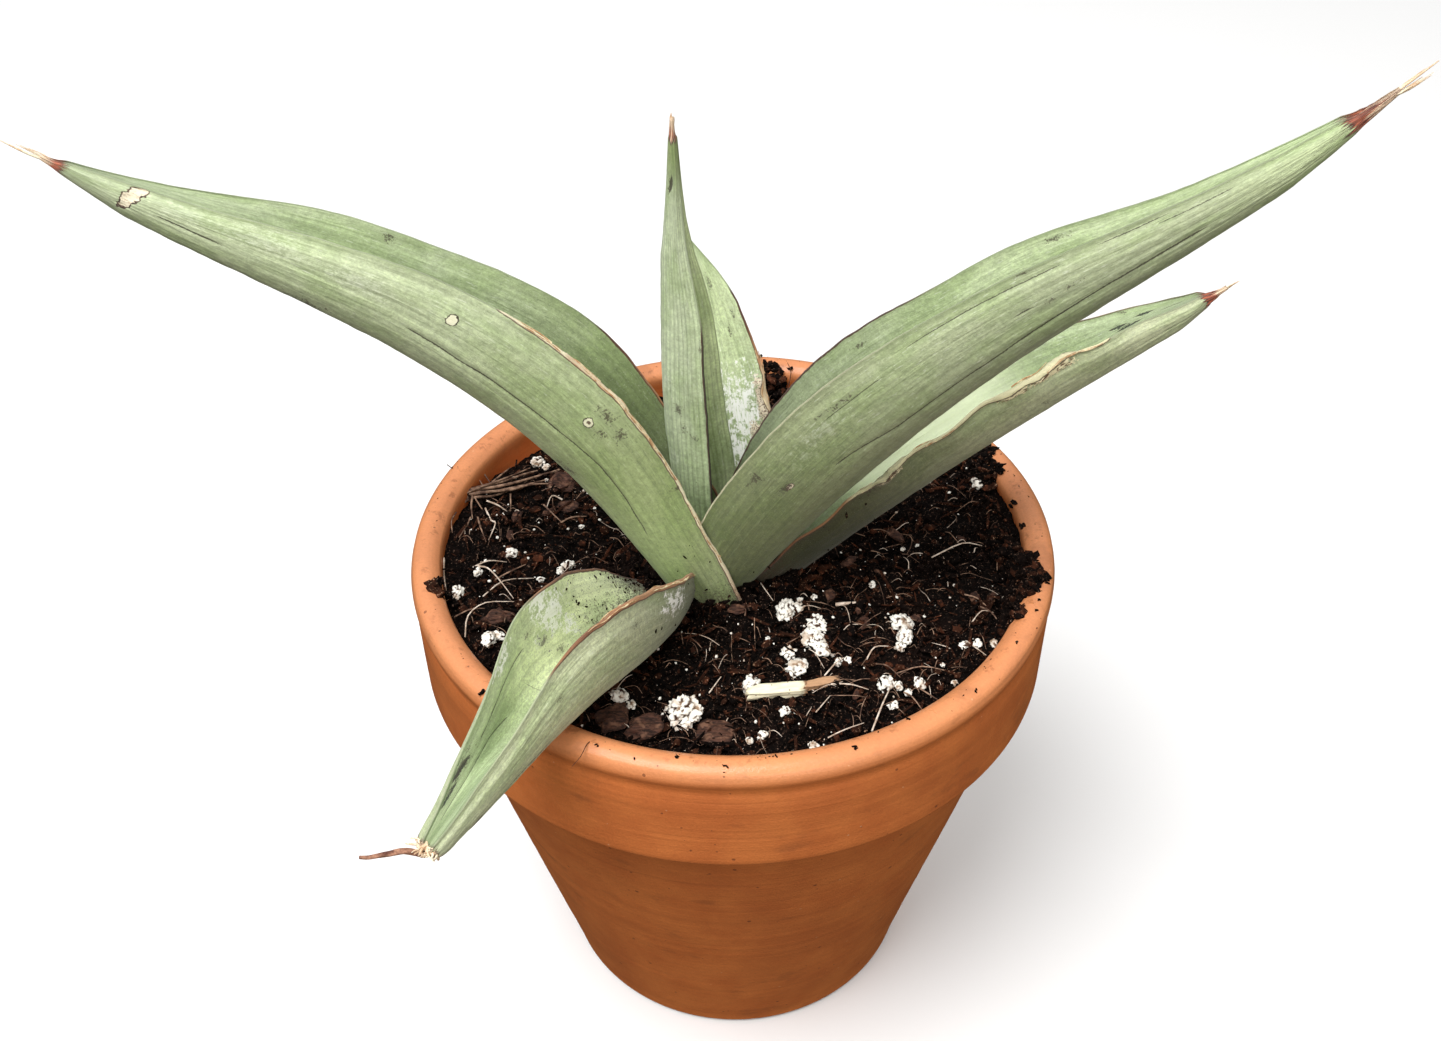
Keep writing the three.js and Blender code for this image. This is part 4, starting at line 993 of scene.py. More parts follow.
def strand_mesh(name, strands, sides=1):
    """Fine round strands through given places, thinner towards their ends, as one mesh."""
    data = bpy.data.curves.new(name, "CURVE")
    data.dimensions = "3D"
    data.bevel_depth = MM
    data.bevel_resolution = sides
    data.use_fill_caps = True
    for radius, taper, points in strands:
        count = max(6, 3 * (len(points) - 1) + 1)
        share = np.linspace(0, 1, count)
        fine = np.stack([through(column, share) for column in np.array(points, float).T], -1)
        spline = data.splines.new("POLY")
        spline.points.add(count - 1)
        for point, co, t in zip(spline.points, place(fine), share):
            point.co = (*co, 1)
            point.radius = radius * (taper + (1 - taper) * (1 - t ** 2))
    strand = bpy.data.objects.new(name, data)
    mesh = bpy.data.meshes.new_from_object(strand)
    bpy.data.objects.remove(strand)
    bpy.data.curves.remove(data)
    return mesh


def fibre_finish(name, dark, light):
    """Dry fibre, darker and lighter along its length."""
    fibre = Finish(name, Specular_IOR_Level=0.3)
    at = fibre.place()
    tone = fibre.noise(at, 0.7, 3, 0.6)
    fine = fibre.noise(at, 4, 2)
    fibre.tint = fibre.blend(fibre.ease(tone, 0.35, 0.65), dark, light)
    fibre.shade(fine, 0.3, 0.7, 0.85, 1.1)
    fibre.bump(fine, 0.08)
    return fibre.done(fibre.ease(tone, 0.3, 0.7, 0.65, 0.85))


def make_fibres():
    """Dry roots: those that stand out, and many short fine ones lying in every direction."""
    rng = random.Random(31)
    groups = {kind: [] for kind in FIBRES}
    for kind, fibres in FIBRES.items():
        for radius, points in fibres:
            strand = [(x, y, lift if lift > ABSOLUTE_HEIGHT else soil_top(x, y) + 0.35 + lift)
                      for x, y, lift in points]
            groups[kind].append((radius, 0.45, strand))
    for _ in range(STREWN["fine_roots"]):
        x, y, _turn = random_spot(rng, STREWN_REACH["fine_roots"])
        way, length, bend = rng.uniform(0, FULL_TURN), 1.2 + 5.5 * rng.random() ** 2, rng.uniform(-0.5, 0.5)
        strand = []
        for lift in (0.2, 0.75, 0.7, 0.3):
            lift = lift * (0.6 + 0.6 * rng.random())
            strand.append((x, y, soil_top(x, y) + 0.3 + lift))
            x, y = x + length / 3 * math.cos(way), y + length / 3 * math.sin(way)
            if math.hypot(x, y) > STREWN_REACH["root_ends"]:
                break
            way += bend * rng.random()
        if len(strand) > 2:
            kind = "pale" if rng.random() < 0.22 else "brown"
            groups[kind].append((rng.uniform(0.035, 0.085), 0.4, strand))
    looks = {"brown": ((78, 54, 42), (164, 132, 110)), "pale": ((176, 152, 132), (232, 216, 200)),
             "dark": ((48, 28, 20), (84, 54, 38))}
    for kind, strands in groups.items():
        name = "root_fibres_" + kind
        look = fibre_finish("dry_root_" + kind, *looks[kind])
        finish_piece(name, strand_mesh(name, strands), look)


def finish_rootstock():
    """The stock under the leaves keeps its solid, and gets a scaly brown skin."""
    skin = Finish("rootstock_skin", Specular_IOR_Level=0.3)
    scales = skin.noise(skin.stretch(skin.place(), 0.4, 0.4, 1.6), 1, 4, 0.6)
    skin.tint = skin.blend(skin.ease(scales, 0.35, 0.65), (104, 66, 42), (176, 132, 92))
    skin.bump(scales, 0.4)
    material = skin.done(skin.ease(scales, 0.3, 0.7, 0.8, 0.6))
    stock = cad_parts["rootstock"]
    if not stock.material_slots:
        stock.data.materials.append(material)
    for slot in stock.material_slots:
        slot.material = material


# Leaves

def keel_line(leaf, steps):
    """Places, side and up directions at evenly spaced stations of a leaf's keel."""
    t = np.linspace(0, 1, steps + 1)
    middle = (t[1:] + t[:-1]) / 2
    ahead = direction(through(leaf["rise"], middle), through(leaf["heading"], middle))
    run = np.cumsum(ahead * leaf["length"] / steps, axis=0)
    points = np.array(leaf["foot"]) + np.vstack(((0, 0, 0), run))
    rise, heading = through(leaf["rise"], t), through(leaf["heading"], t)
    up = direction(rise + 90, heading)
    side = np.cross(direction(rise, heading), up)
    roll = np.radians(through(leaf["roll"], t))[:, None]
    return t, points, side * np.cos(roll) - up * np.sin(roll), up * np.cos(roll) + side * np.sin(roll)


def folded_half(half_width, fold, shares):
    """Middle line of the folded blade at shares from keel to margin: side, up and slope for each station."""
    fine = np.linspace(0, 1, 161)
    sharp = BLADE["keel_sharpness"]
    slope = fold * np.tanh(fine / sharp) / np.tanh(1 / sharp)
    step = half_width / (len(fine) - 1)

    def run(part):
        sums = np.cumsum((part[:, 1:] + part[:, :-1]) / 2, axis=1) * step
        return np.hstack((np.zeros((len(part), 1)), sums))

    return [np.stack([np.interp(shares, fine, row) for row in rows])
            for rows in (run(np.cos(slope)), run(np.sin(slope)), slope)]


def leaf_columns(outer, inner):
    """The way round a section: share across (-1 to 1) and how far round from the outer to the inner face."""
    rounding = BLADE["rounding"]
    down = np.linspace(1, -1, outer + 1)
    back = np.linspace(-1, 1, inner + 1)
    turn = np.linspace(0, 1, rounding + 2)[1:-1]
    across = np.concatenate((down, -np.ones(rounding), back, np.ones(rounding), down[:1]))
    face = np.concatenate((np.zeros(outer + 1), turn, np.ones(inner + 1), 1 - turn, [0]))
    return across, face


def leaf_sheet(name, leaf):
    """The stations along a leaf and the columns round it, and where each of their points lies in the skin."""
    steps = max(BLADE["fewest_stations"], round(leaf["length"] / BLADE["station"]))
    widest = max(leaf["half_width"])
    outer = max(BLADE["fewest_columns"], round(2 * widest / BLADE["column"]))
    t, keel, side, up = keel_line(leaf, steps)
    across, face = leaf_columns(outer, outer * 2 // 3)
    along = t[:, None] * leaf["length"] + 0 * across
    return SimpleNamespace(
        keel=keel, side=side, up=up, across=across, face=face, along=along, lie=across * widest + 0 * along,
        t=t[:, None], share=np.abs(across), hand=np.where(across < 0, -1, 1), seed=sum(map(ord, name)),
        half_width=np.maximum(through(leaf["half_width"], t), BLADE["end_width"])[:, None],
    )


def mark_field(marks, sheet, length):
    """How far inside the nearest mark each point is: 1 in its middle, 0 at its edge, less outside."""
    best = np.full(sheet.along.shape, -3.0)
    for side, at, share, half_long, half_wide in marks:
        aside = (sheet.across * sheet.half_width - share * sheet.half_width) / half_wide
        ahead = (sheet.along - at * length) / half_long
        inside = 1 - (aside**4 + ahead**4) ** 0.25
        best = np.maximum(best, inside - 4 * np.abs(sheet.face - side))
    return best


def crease_fields(leaf, sheet):
    """Signed distance in mm from the nearest crease, and that crease's half width (0 where there is none)."""
    t = sheet.t
    off = np.full(sheet.along.shape, 9.0)
    wide = np.zeros_like(off)
    for side, half, places in leaf["creases"]:
        at = np.array(sorted(places))
        line = np.interp(t, at[:, 0], at[:, 1])
        ends = ease(t, at[0, 0], at[0, 0] + 0.02) * (1 - ease(t, at[-1, 0] - 0.02, at[-1, 0]))
        distance = (sheet.across - line) * sheet.half_width
        near = (np.abs(distance) < np.abs(off)) & (np.abs(sheet.face - side) < 0.5) & (ends > 0)
        off = np.where(near, distance, off)
        wide = np.where(near, half * ends * (1 - ease(np.abs(distance), 0.7, 1.3)), wide)
    return off, wide


def rim_fields(leaf, sheet):
    """Width and rustiness of the margin's line at each place."""
    wide, rust = 0, 0
    for side, places in leaf["rims"].items():
        at = np.array(places)
        wide = wide + np.interp(sheet.t, at[:, 0], at[:, 1]) * (sheet.hand == side)
        rust = rust + np.interp(sheet.t, at[:, 0], at[:, 2]) * (sheet.hand == side)
    return wide, rust


def skin_values(leaf, sheet):
    """What the leaf's material reads at each point: where it lies in the skin, and how near the marks are."""
    along, lie = sheet.along, sheet.lie
    rim_wide, rim_rust = rim_fields(leaf, sheet)
    off, crease = crease_fields(leaf, sheet)
    warp = grain(lie / 6, along / 30, sheet.seed, 2)
    rib = np.sin(2 * math.pi * (lie / leaf["rib_gap"] + 0.55 * warp))
    values = {
        "along": along, "across": lie, "face": sheet.face + 0 * along, "share": sheet.t + 0 * along, "rib": rib,
        "rim_wide": rim_wide, "rim_rust": rim_rust, "crease_off": off, "crease_wide": crease,
    }
    for kind in ("scar", "soot", "crust", "bloom"):
        values[kind] = mark_field(leaf["marks"].get(kind, ()), sheet, leaf["length"])
    return values


def blade_places(leaf, sheet, values):
    """The blade's points in metres, and how far each is from the margin, less what stands past it."""
    t, w, share, hand, face = sheet.t, sheet.half_width, sheet.share, sheet.hand, sheet.face
    along, lie, seed = sheet.along, sheet.lie, sheet.seed
    rim_wide = values["rim_wide"]
    sharp = BLADE["keel_sharpness"]

    def rough(across_size, along_size, number, octaves):
        return grain(lie / across_size, along / along_size, seed + number, octaves)

    # Middle line of the folded section, and how thick the blade is each way from it.
    fold = np.radians(through(leaf["fold"], t))
    middle_side, middle_up, slope = folded_half(w, fold, share)
    margin_side, margin_up, _ = folded_half(w, fold, np.array([1.0]))
    if leaf["wider"]:
        wide_hand, extra, low, high = leaf["wider"]
        bulge = np.sin(math.pi * np.clip((t - low) / (high - low), 0, 1)) ** 2
        swollen = 1 + extra * bulge * (hand == wide_hand)
        middle_side, middle_up, margin_side, margin_up = (
            part * swollen for part in (middle_side, middle_up, margin_side, margin_up))
    keel_radius = w * sharp * math.tanh(1 / sharp) / fold
    near_rim = ease(share, 0.78, 1)
    knotty = grain(along / 1.7, hand * 3.3 + 0 * along, seed + 5, 2) * (rim_wide > 0.3)
    rim_half = 0.16 + 0.3 * rim_wide + 0.05 * knotty
    full = BLADE["keel_thickness"] / 2 * (1 - BLADE["edge_thinning"] * share**2)
    full = full * (1 - near_rim) + rim_half * near_rim
    thin = 0.35 * w + 0.15
    wave_height, wave_count = leaf["wave"]
    ends = np.sin(math.pi * np.minimum(1, t * 1.05)) ** 0.5
    wave = wave_height * ends * np.sin(2 * math.pi * (wave_count * t + 0.3 * hand)) * share**3

    # Ribs, shallow folds, dents, creases, scars, crusts and rings.
    blade = ease(w, 1, 4) * (1 - ease(share, 0.93, 1))
    folds = 0.045 * rough(2.9, 45, 1, 2) + 0.022 * rough(0.8, 14, 2, 2)
    dents = 0.045 * rough(1.6, 2.4, 3, 3)
    swell = (leaf["ribs"] * values["rib"] + folds + dents) * blade
    groove = -0.15 * np.exp(-(values["crease_off"] / 0.26) ** 2) * np.minimum(1, values["crease_wide"] / 0.1)
    scar = ease(values["scar"] + 0.12 * rough(0.8, 0.8, 4, 2), 0, 0.3)
    crust = ease(values["crust"], -0.1, 0.5) * (0.2 + 0.35 * np.abs(rough(0.9, 0.9, 6, 3)))
    relief = groove - 0.16 * scar + crust
    for at, place_across, radius, _ in leaf["rings"]:
        far = np.hypot(sheet.across * w - place_across * w, along - at * leaf["length"]) / radius
        relief = relief + 0.14 * np.exp(-((far - 0.85) / 0.3) ** 2) * (face < 0.5)
    outwards = np.minimum(full, thin) + (swell + relief) * (face < 0.5)
    inwards = np.minimum(full, 0.75 * keel_radius) + (0.7 * swell + relief) * (face > 0.5)

    # The section: rounded and ragged at its margins, filled towards the tip, and shrunken where it is dry.
    round_turn = (face - 0.5) * math.pi
    beyond = np.cos(round_turn) * (share > 0.9999)
    depth = np.where(face > 0.5, np.sin(round_turn) * inwards, np.sin(round_turn) * outwards)
    depth = np.where(face >= 1, inwards, np.where(face <= 0, -outwards, depth)) + wave
    past = beyond * np.minimum(full, thin)
    ragged = 0.05 + 0.3 * np.minimum(1, rim_wide) + 0.5 * ease(values["crust"], -0.3, 0.4)
    ragged = ragged * grain(along / 3.1, hand * 5.1 + 0 * along, seed + 7, 3)
    ragged = ragged * ease(share, 0.8, 1) * ease(w, 1, 4)
    x = middle_side - np.sin(slope) * depth + np.cos(slope) * (past + ragged)
    y = middle_up + np.cos(slope) * depth + np.sin(slope) * (past + ragged)
    fill = 0.85 * ease(t, *BLADE["tip_fill"]) * (face >= 1)
    x = x + (share * margin_side - x) * fill
    y = y + (margin_up - y) * fill
    creased = np.abs(grain(sheet.across * 4 + 0 * along, along / 3, seed + 8, 2))
    shrunken = 1 - ease(t, leaf["dry"], leaf["dry"] + 0.012) * (0.18 + 0.34 * creased)
    x, y = x * shrunken, y * shrunken
    aside = (hand * x)[..., None] * sheet.side[:, None, :]
    return place(sheet.keel[:, None, :] + aside + y[..., None] * sheet.up[:, None, :]), (1 - share) * w - past


# Finished blades, for what lies on them.
LEAF_PLACES = {}


def make_leaf(name, leaf):
    """A blade: a sheet wrapped round the section at each station of the keel, and closed into a tube."""
    sheet = leaf_sheet(name, leaf)
    values = skin_values(leaf, sheet)
    places, values["edge"] = blade_places(leaf, sheet, values)
    steps, columns = len(sheet.t) - 1, len(sheet.across) - 1
    bm = bmesh.new()
    bmesh.ops.create_grid(bm, x_segments=columns, y_segments=steps, size=1)
    layers = {key: bm.verts.layers.float.new(key) for key in values}
    for vert in bm.verts:
        j = round((vert.co.x + 1) / 2 * columns)
        i = round((vert.co.y + 1) / 2 * steps)
        vert.co = places[i, j]
        for key, layer in layers.items():
            vert[layer] = values[key][i, j]
    bmesh.ops.remove_doubles(bm, verts=[vert for vert in bm.verts if vert.is_boundary], dist=2e-7)
    close_shell(bm)
    finish_piece(name + "_blade", bm, LeafSkin(name, leaf).finished(), replaces=name)
    LEAF_PLACES[name] = SimpleNamespace(across=sheet.across, face=sheet.face, places=places)


class LeafSkin(Finish):
    """Powdery grey-green skin with lengthwise lines, a pale or rusty margin, a dry tip and marks, and painted
    light and shade by place.
    """

    def __init__(self, name, leaf):
        super().__init__(name + "_skin", Specular_IOR_Level=0.4, Sheen_Weight=0.15, Sheen_Roughness=0.6)
        self.leaf = leaf
        self.along, self.across, self.face, self.edge, self.share = (
            self.attribute(key) for key in ("along", "across", "face", "edge", "share"))
        self.lie = self.node("CombineXYZ", (self.across, self.along, self.times(self.face, 37))).outputs[0]
        self.lines = self.noise(self.stretch(self.lie, 1.7, 0.035, 1), 1, 3, 0.65)
        self.dashes = self.noise(self.stretch(self.lie, 3.4, 0.5, 1), 1, 3, 0.65)
        self.powder = self.noise(self.lie, 2.3, 4, 0.8)
        self.blot = self.noise(self.lie, 0.8, 3, 0.65)
        self.inner_face = self.ease(self.face, 0.35, 0.65)

    def finished(self):
        self.green()
        self.shade_by_place()
        self.speckle()
        self.bloom_and_crust()
        self.scars()
        self.rings()
        self.creases()
        self.margin()
        self.soil()
        self.dry_tip()
        self.bump(self.plus(self.lines, self.times(self.powder, 0.7)), 0.14)
        return self.done(self.ease(self.powder, 0.3, 0.7, 0.48, 0.64))

    def green(self):
        """The two faces' own greens, clouded, lined and dusted, with painted shade in the furrows between the
        ribs.
        """
        self.cloud = self.noise(self.stretch(self.lie, 1, 0.5, 1), 0.13, 3, 0.6)
        bands = self.noise(self.stretch(self.lie, 0.42, 0.014, 1), 1, 2, 0.5)
        mottle = self.leaf["mottle"]
        self.tint = self.blend(self.inner_face, self.leaf["outer"], self.leaf["inner"])
        self.coat(self.ease(self.cloud, 0.42, 0.64, 0, 0.5), (148, 170, 110))
        self.shade(self.lines, 0.3, 0.7, 0.92, 1.07)
        self.shade(bands, 0.32, 0.68, 0.9, 1.07)
        self.shade(self.powder, 0.3, 0.7, 1 - 0.16 * mottle, 1 + 0.15 * mottle)
        self.shade(self.blot, 0.32, 0.68, 0.86, 1.1)
        self.coat(self.ease(self.dashes, 0.43, 0.32, 0, 0.4), (104, 120, 82))
        self.coat(self.ease(self.dashes, 0.58, 0.7, 0, 0.45), (232, 238, 218))
        # Painted shade in the furrows between the ribs, where the relief alone shows little.
        self.shade(self.attribute("rib"), -1, 0.2, 1 - 5 * self.leaf["ribs"], 1.0)

    def shade_by_place(self):
        """Painted light and shade by place: shade towards the foot (light on the front leaf), in the crotch and
        inside the front leaf towards its tip; shade with the foot's own greener tone near the soil; and towards
        the tip shade with some of the tip's own tone, light on the right leaf.
        """
        leaf, share = self.leaf, self.share
        # Painted shade towards the foot, painted light where base_shade is above 1.
        self.shade(share, 0, 0.42, leaf["base_shade"], 1.0)
        # Painted shade on the inner face towards the tip.
        if leaf["far_inside_painted_shade"]:
            low, high, factors = leaf["far_inside_painted_shade"]
            self.stain(self.times(self.inner_face, self.ease(share, low, high)), factors)
        # Painted shade towards the tip, with some of the tip's own tone; painted light where the factors are
        # above 1.
        low, high, factors = leaf["far"]
        self.stain(self.ease(share, low, high), factors)
        # Painted shade near the soil, with the foot's own greener tone.
        low, high, factors = leaf["foot_tone_and_painted_shade"]
        footward = self.ease(share, high, low)
        if leaf["foot_outside"]:
            footward = self.times(footward, self.less(1.0, self.inner_face))
        self.stain(footward, factors)
        # Painted shade in the crotch, on the inner face near the foot.
        crotch = self.times(self.times(self.inner_face, self.ease(share, 0.55, 0.2)), leaf["crotch"])
        self.tint = self.shaded(self.tint, self.less(1.0, crotch))

    def speckle(self):
        """Pale grit and dark pepper in the skin."""
        grit = self.noise(self.lie, 5.5, 2, 0.6)
        self.coat(self.ease(grit, 0.64, 0.76, 0, 0.5), (232, 236, 216))
        self.coat(self.ease(self.plus(grit, self.times(self.cloud, 0.35)), 0.38, 0.46, 0.5, 0), (84, 94, 62))

    def mark(self, kind, roughness, low, high, coarse=0.4):
        """Where a kind of mark shows, its edge broken up by the skin's own patterns."""
        broken = self.plus(self.times(self.blot, coarse), self.times(self.powder, 1 - coarse))
        return self.ease(self.plus(self.attribute(kind), self.sway(broken, roughness)), low, high)

    def bloom_and_crust(self):
        """White bloom brushed along the leaf, painted light on the inner face, seen as a bright strip inside
        the margin, and corky crust.
        """
        leaf = self.leaf
        brushed = self.plus(self.mark("bloom", 6, 0.1, 0.9, 0.7), self.sway(self.dashes, 3))
        brushed = self.times(brushed, self.mark("bloom", 5, -0.3, 0.9, 0.5))
        self.coat(self.times(self.ease(brushed, 0.0, 1.3), leaf["bloom"]), (246, 246, 242))
        # Painted light: a pale coat on the inner face from about a quarter to two thirds of the length.
        strip = self.times(self.inner_face, self.ease(self.share, 0.7, 0.5))
        self.coat(self.times(strip, self.ease(self.share, 0.2, 0.3, 0, leaf["strip"])), (244, 252, 220))
        corky = self.noise(self.stretch(self.lie, *leaf["crust_grain"], 1), 1, 3, 0.6)
        crust = self.mark("crust", 3.0, -0.05, 0.2)
        self.coat(crust, self.blend(self.ease(corky, 0.42, 0.5), *leaf["crust_tints"]))

    def scars(self):
        """Dried wounds: pale inside, with a brown line round them."""
        scar = self.plus(self.attribute("scar"), self.sway(self.noise(self.lie, 0.7, 3, 0.5), 1.0))
        tint = self.blend(self.ease(scar, 0.12, 0.2), (62, 44, 30), (238, 228, 200))
        worn = self.ease(self.plus(self.powder, self.blot), 1.04, 1.16, 0, 0.6)
        tint = self.blend(worn, tint, (150, 118, 92))
        self.coat(self.ease(scar, -0.08, 0.0), tint)

    def rings(self):
        """Small round spots with a dark ring, some with a dot in the middle."""
        widest = max(self.leaf["half_width"])
        for at, place_across, radius, dot in self.leaf["rings"]:
            wide = float(through(self.leaf["half_width"], np.array([at]))[0]) / widest
            aside = self.less(self.times(self.across, wide), place_across * wide * widest)
            ahead = self.less(self.along, at * self.leaf["length"])
            far = self.length(self.node("CombineXYZ", (aside, ahead, 0.0)).outputs[0])
            far = self.plus(far, self.sway(self.blot, 1.1))
            far = self.plus(far, self.times(self.inner_face, 50))
            tint = self.blend(self.ease(far, radius * 0.8, radius * 0.92), (236, 234, 204), (58, 48, 32))
            if dot:
                tint = self.blend(self.ease(far, radius * 0.25, radius * 0.4, 0.9, 0), tint, (84, 54, 36))
            self.coat(self.ease(far, radius, radius * 1.14, 1, 0), tint)

    def creases(self):
        """Dark lines in the creases. A wide one is a slit, nearly black with painted shade in its gap."""
        # The near black of a slit is painted shade.
        slit = self.ease(self.attribute("crease_wide"), 0.2, 0.3)
        wander = self.sway(self.powder, self.ease(slit, 0, 1, 0.35, 1.9))
        off = self.maths("ABSOLUTE", self.plus(self.attribute("crease_off"), wander))
        inside = self.less(self.attribute("crease_wide"), off)
        self.coat(self.ease(inside, -0.02, 0.06, 0, 0.93), self.blend(slit, (58, 54, 36), (14, 20, 12)))

    def margin(self):
        """The margin's line, from cream over tan to rusty, then near black as painted shadow in the gap along
        the margin, with a painted shadow line along its inner border; frayed, and soot over it.
        """
        frayed = self.noise(self.stretch(self.lie, 0.25, 0.45, 1), 1, 4, 0.7)
        past = self.less(self.plus(self.attribute("rim_wide"), self.sway(frayed, 0.36)), self.edge)
        rim = self.times(self.ease(past, 0.0, 0.1), self.ease(self.attribute("rim_wide"), 0.01, 0.1))
        rust = self.plus(self.attribute("rim_rust"), self.sway(frayed, 0.9))
        tint = self.blend(self.ease(rust, 0.1, 0.5), self.leaf["rim_cream"], (188, 134, 90))
        tint = self.blend(self.ease(rust, 0.5, 0.95), tint, (104, 54, 38))
        # Near black at the rustiest: painted shadow in the gap along the margin.
        tint = self.blend(self.ease(rust, 0.9, 1.2), tint, (52, 50, 34))
        tint = self.blend(self.ease(self.dashes, 0.39, 0.32, 0, 0.5), tint, (96, 62, 42))
        # Painted shadow: a dark brown line along the rim's inner border, all along it where the leaf asks for
        # that, else only where the margin is rusty.
        outline = self.ease(past, 0.3, 0.18)
        if not self.leaf["shadow_line_all_along"]:
            outline = self.times(outline, self.ease(self.attribute("rim_rust"), -0.1, 0.1))
        self.coat(rim, self.blend(self.times(outline, 0.92), tint, (78, 48, 32)))
        self.coat(self.times(self.mark("soot", 8, 0.35, 1.05), 0.85), (62, 52, 38))

    def soil(self):
        """Fine soil rubbed into the skin near the foot."""
        foot = self.plus(self.ease(self.along, 18, 2, 0, 0.3),
                         self.ease(self.share, 0.62, 0.1, 0, 0.1 * self.leaf["dirt"]))
        self.coat(self.ease(self.plus(self.powder, foot), 0.7, 0.78, 0, 0.8), (66, 50, 34))

    def dry_tip(self):
        """The dry end: a dark burnt line, then reddish brown that fades to cream."""
        dry = self.leaf["dry"]
        streak = self.noise(self.stretch(self.lie, 0.6, 0.14, 1), 1, 3, 0.7)
        patchy = self.noise(self.stretch(self.lie, 0.9, 0.35, 1), 1, 2, 0.6)
        reach = self.plus(self.share, self.sway(streak, 0.06))
        cream = self.plus(self.ease(self.share, dry, 1, self.leaf["cream"], 0.85), self.sway(streak, 2.2))
        tint = self.blend(self.ease(patchy, 0.36, 0.6), (84, 34, 26), (190, 100, 66))
        tint = self.blend(self.ease(cream, 0.5, 0.72), tint, (240, 212, 180))
        tint = self.blend(self.ease(streak, 0.47, 0.4, 0, 0.8), tint, (70, 34, 26))
        tint = self.blend(self.ease(reach, dry + 0.002, dry + 0.008), (70, 38, 26), tint)
        self.coat(self.ease(reach, dry - 0.002, dry + 0.002), tint)


def on_leaf(name, share, across, face=OUTER):
    """A point of a finished blade, in millimetres from the pot's axis."""
    leaf = LEAF_PLACES[name]
    i = round(share * (len(leaf.places) - 1))
    columns = np.nonzero(np.abs(leaf.face - face) < 0.01)[0]
    j = columns[np.argmin(np.abs(leaf.across[columns] - across))]
    return leaf.places[i, j] / MM - AXIS_MM


def make_dry_curl():
    """The dried end of the front leaf: a twisted brown strip of four strands."""
    _, points, _, _ = keel_line(LEAVES["leaf_front"], 60)
    level, length, knees = direction(0, DRY_CURL["heading"]), DRY_CURL["length"], 7
    path = [points[-2] + (0, 0, 0.1), points[-1] + (0, 0, -0.3)]
    for k in range(1, knees + 1):
        step = k / knees
        sway = 0.5 * math.sin(1.6 * math.pi * step)
        path.append(points[-1] + (0, 0, -0.3 + 0.8 * step) + level * length * step
                    + np.array((0, 0.25 * sway, sway)))
    strands = [(0.42, 0.6, path)]
    for shift, turn in ((0.32, 0), (0.3, 2.1), (0.3, 4.2)):
        twist = []
        for k, p in enumerate(path):
            around = turn + 0.8 * k
            away = shift * (1 - 0.55 * k / (len(path) - 1))
            twist.append(p + away * np.array((0, math.cos(around), math.sin(around))))
        strands.append((0.3, 0.45, twist))
    look = fibre_finish("dry_leaf_brown", (84, 44, 34), (168, 124, 100))
    finish_piece("dry_curl", strand_mesh("dry_curl", strands, 2), look)


def make_tip_threads():
    """Frayed cream fibres round the dry curl's root, and threads beyond the other leaves' tips."""
    rng = random.Random(3)
    _, points, _, _ = keel_line(LEAVES["leaf_front"], 60)
    tufts = []
    for _ in range(46):
        across = rng.uniform(-1, 1)
        root = on_leaf("leaf_front", 0.992, across, rng.choice((OUTER, INNER)))
        root = root + (points[-1] - root) * rng.uniform(0, 0.5)
        way = Vector(draws(rng, (-1, 0.7), (-1, 0.6), (-0.7, 1))).normalized()
        length = rng.uniform(0.7, 2.2)
        bend = Vector(stray(rng, 0.5)) * length * 0.4
        tufts.append((rng.uniform(0.12, 0.26), 0.4,
                      [root - way * 0.5, root + way * length * 0.5 + bend, root + way * length]))
    for name, reach, count in TIP_THREADS:
        _, line, _, up = keel_line(LEAVES[name], 200)
        ahead = (line[-1] - line[-8]) / np.linalg.norm(line[-1] - line[-8])
        for k in range(count):
            aside = stray(rng)
            length = reach * (1 if k == 0 else rng.uniform(0.3, 0.8))
            root = line[-4] + up[-4] * 0.3
            tip = line[-1] + ahead * length + aside * (0.15 if k == 0 else 0.22) * length
            middle = (root + tip) / 2 + aside * 0.25
            tufts.append((0.2 if k == 0 else 0.11, 0.3, [root, middle, tip]))
    look = fibre_finish("dry_leaf_cream", (222, 186, 150), (246, 234, 208))
    finish_piece("tip_threads", strand_mesh("tip_threads", tufts), look)


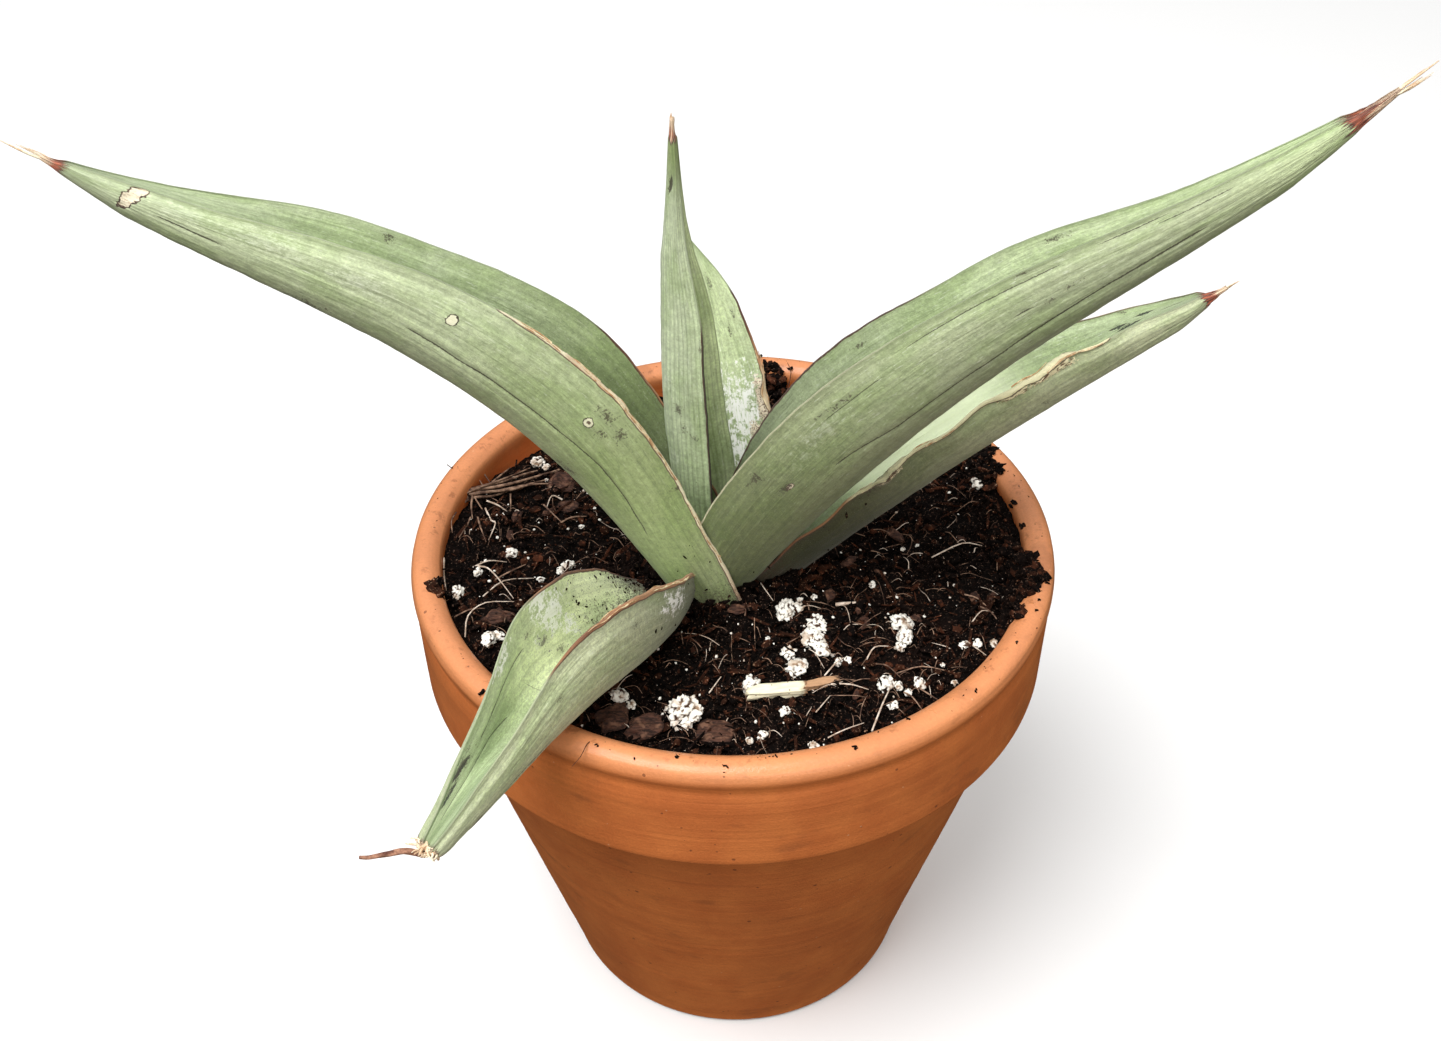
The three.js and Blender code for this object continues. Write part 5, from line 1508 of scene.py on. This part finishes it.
def make_margin_peel():
    """Threads of dry skin coming away along the leaves' margins."""
    rng = random.Random(17)
    strands = []
    for name, hand, low, high, count in PEELING:
        for _ in range(count):
            start = rng.uniform(low, high)
            span = rng.uniform(2, 7) / LEAVES[name]["length"]
            face = rng.choice((OUTER, OUTER, INNER))
            strand = []
            for k in range(4):
                at = min(high + 0.02, start + span * k / 3)
                root = on_leaf(name, at, hand * 1.0, face)
                outward = root - on_leaf(name, at, hand * 0.93, face)
                outward = outward / np.linalg.norm(outward)
                aside = stray(rng) * 0.12
                strand.append(root + outward * (0.02 + 0.18 * rng.random()) + aside)
            strands.append((rng.uniform(0.08, 0.15), 0.4, strand))
    look = fibre_finish("peeled_margin", (184, 138, 96), (236, 220, 180))
    finish_piece("margin_peel", strand_mesh("margin_peel", strands), look)


def make_leaf_dirt():
    """Small crumbs of soil stuck to the leaves, most on the front leaf and round the feet."""
    rng = random.Random(41)
    bm = bmesh.new()
    chunks = [chunk_mesh(0.9, 70 + seed) for seed in range(4)]
    for name, face, low, high, count in STUCK_SOIL:
        for _ in range(count):
            share = low + (high - low) * rng.random() ** 1.7
            across = rng.uniform(-0.97, 0.97)
            if count > PATCHY_COUNT:
                across = 0.97 - 1.9 * rng.random() ** 1.4
                if noise.noise((share * 14, across * 3, 7.0)) < rng.uniform(-0.5, 0.35):
                    continue
            at = on_leaf(name, share, across, face)
            size = 0.05 + 0.26 * rng.random() ** 4
            shape = (size * 1.8, size * 0.8, size * 0.7)
            scatter(bm, rng.choice(chunks), at, shape, draws(rng, *[(0, 3)] * 3))
    look = earth_finish("stuck_soil", (30, 20, 14), (62, 42, 30), (140, 112, 88))
    finish_piece("leaf_dirt", bm, look, smooth=False)


make_camera()
make_stage()
make_light()
make_pot()
make_soil()
make_crumbs()
make_perlite()
make_bark()
make_fibres()
finish_rootstock()
for leaf_name, leaf_values in LEAVES.items():
    make_leaf(leaf_name, leaf_values)
make_dry_curl()
make_tip_threads()
make_margin_peel()
make_leaf_dirt()
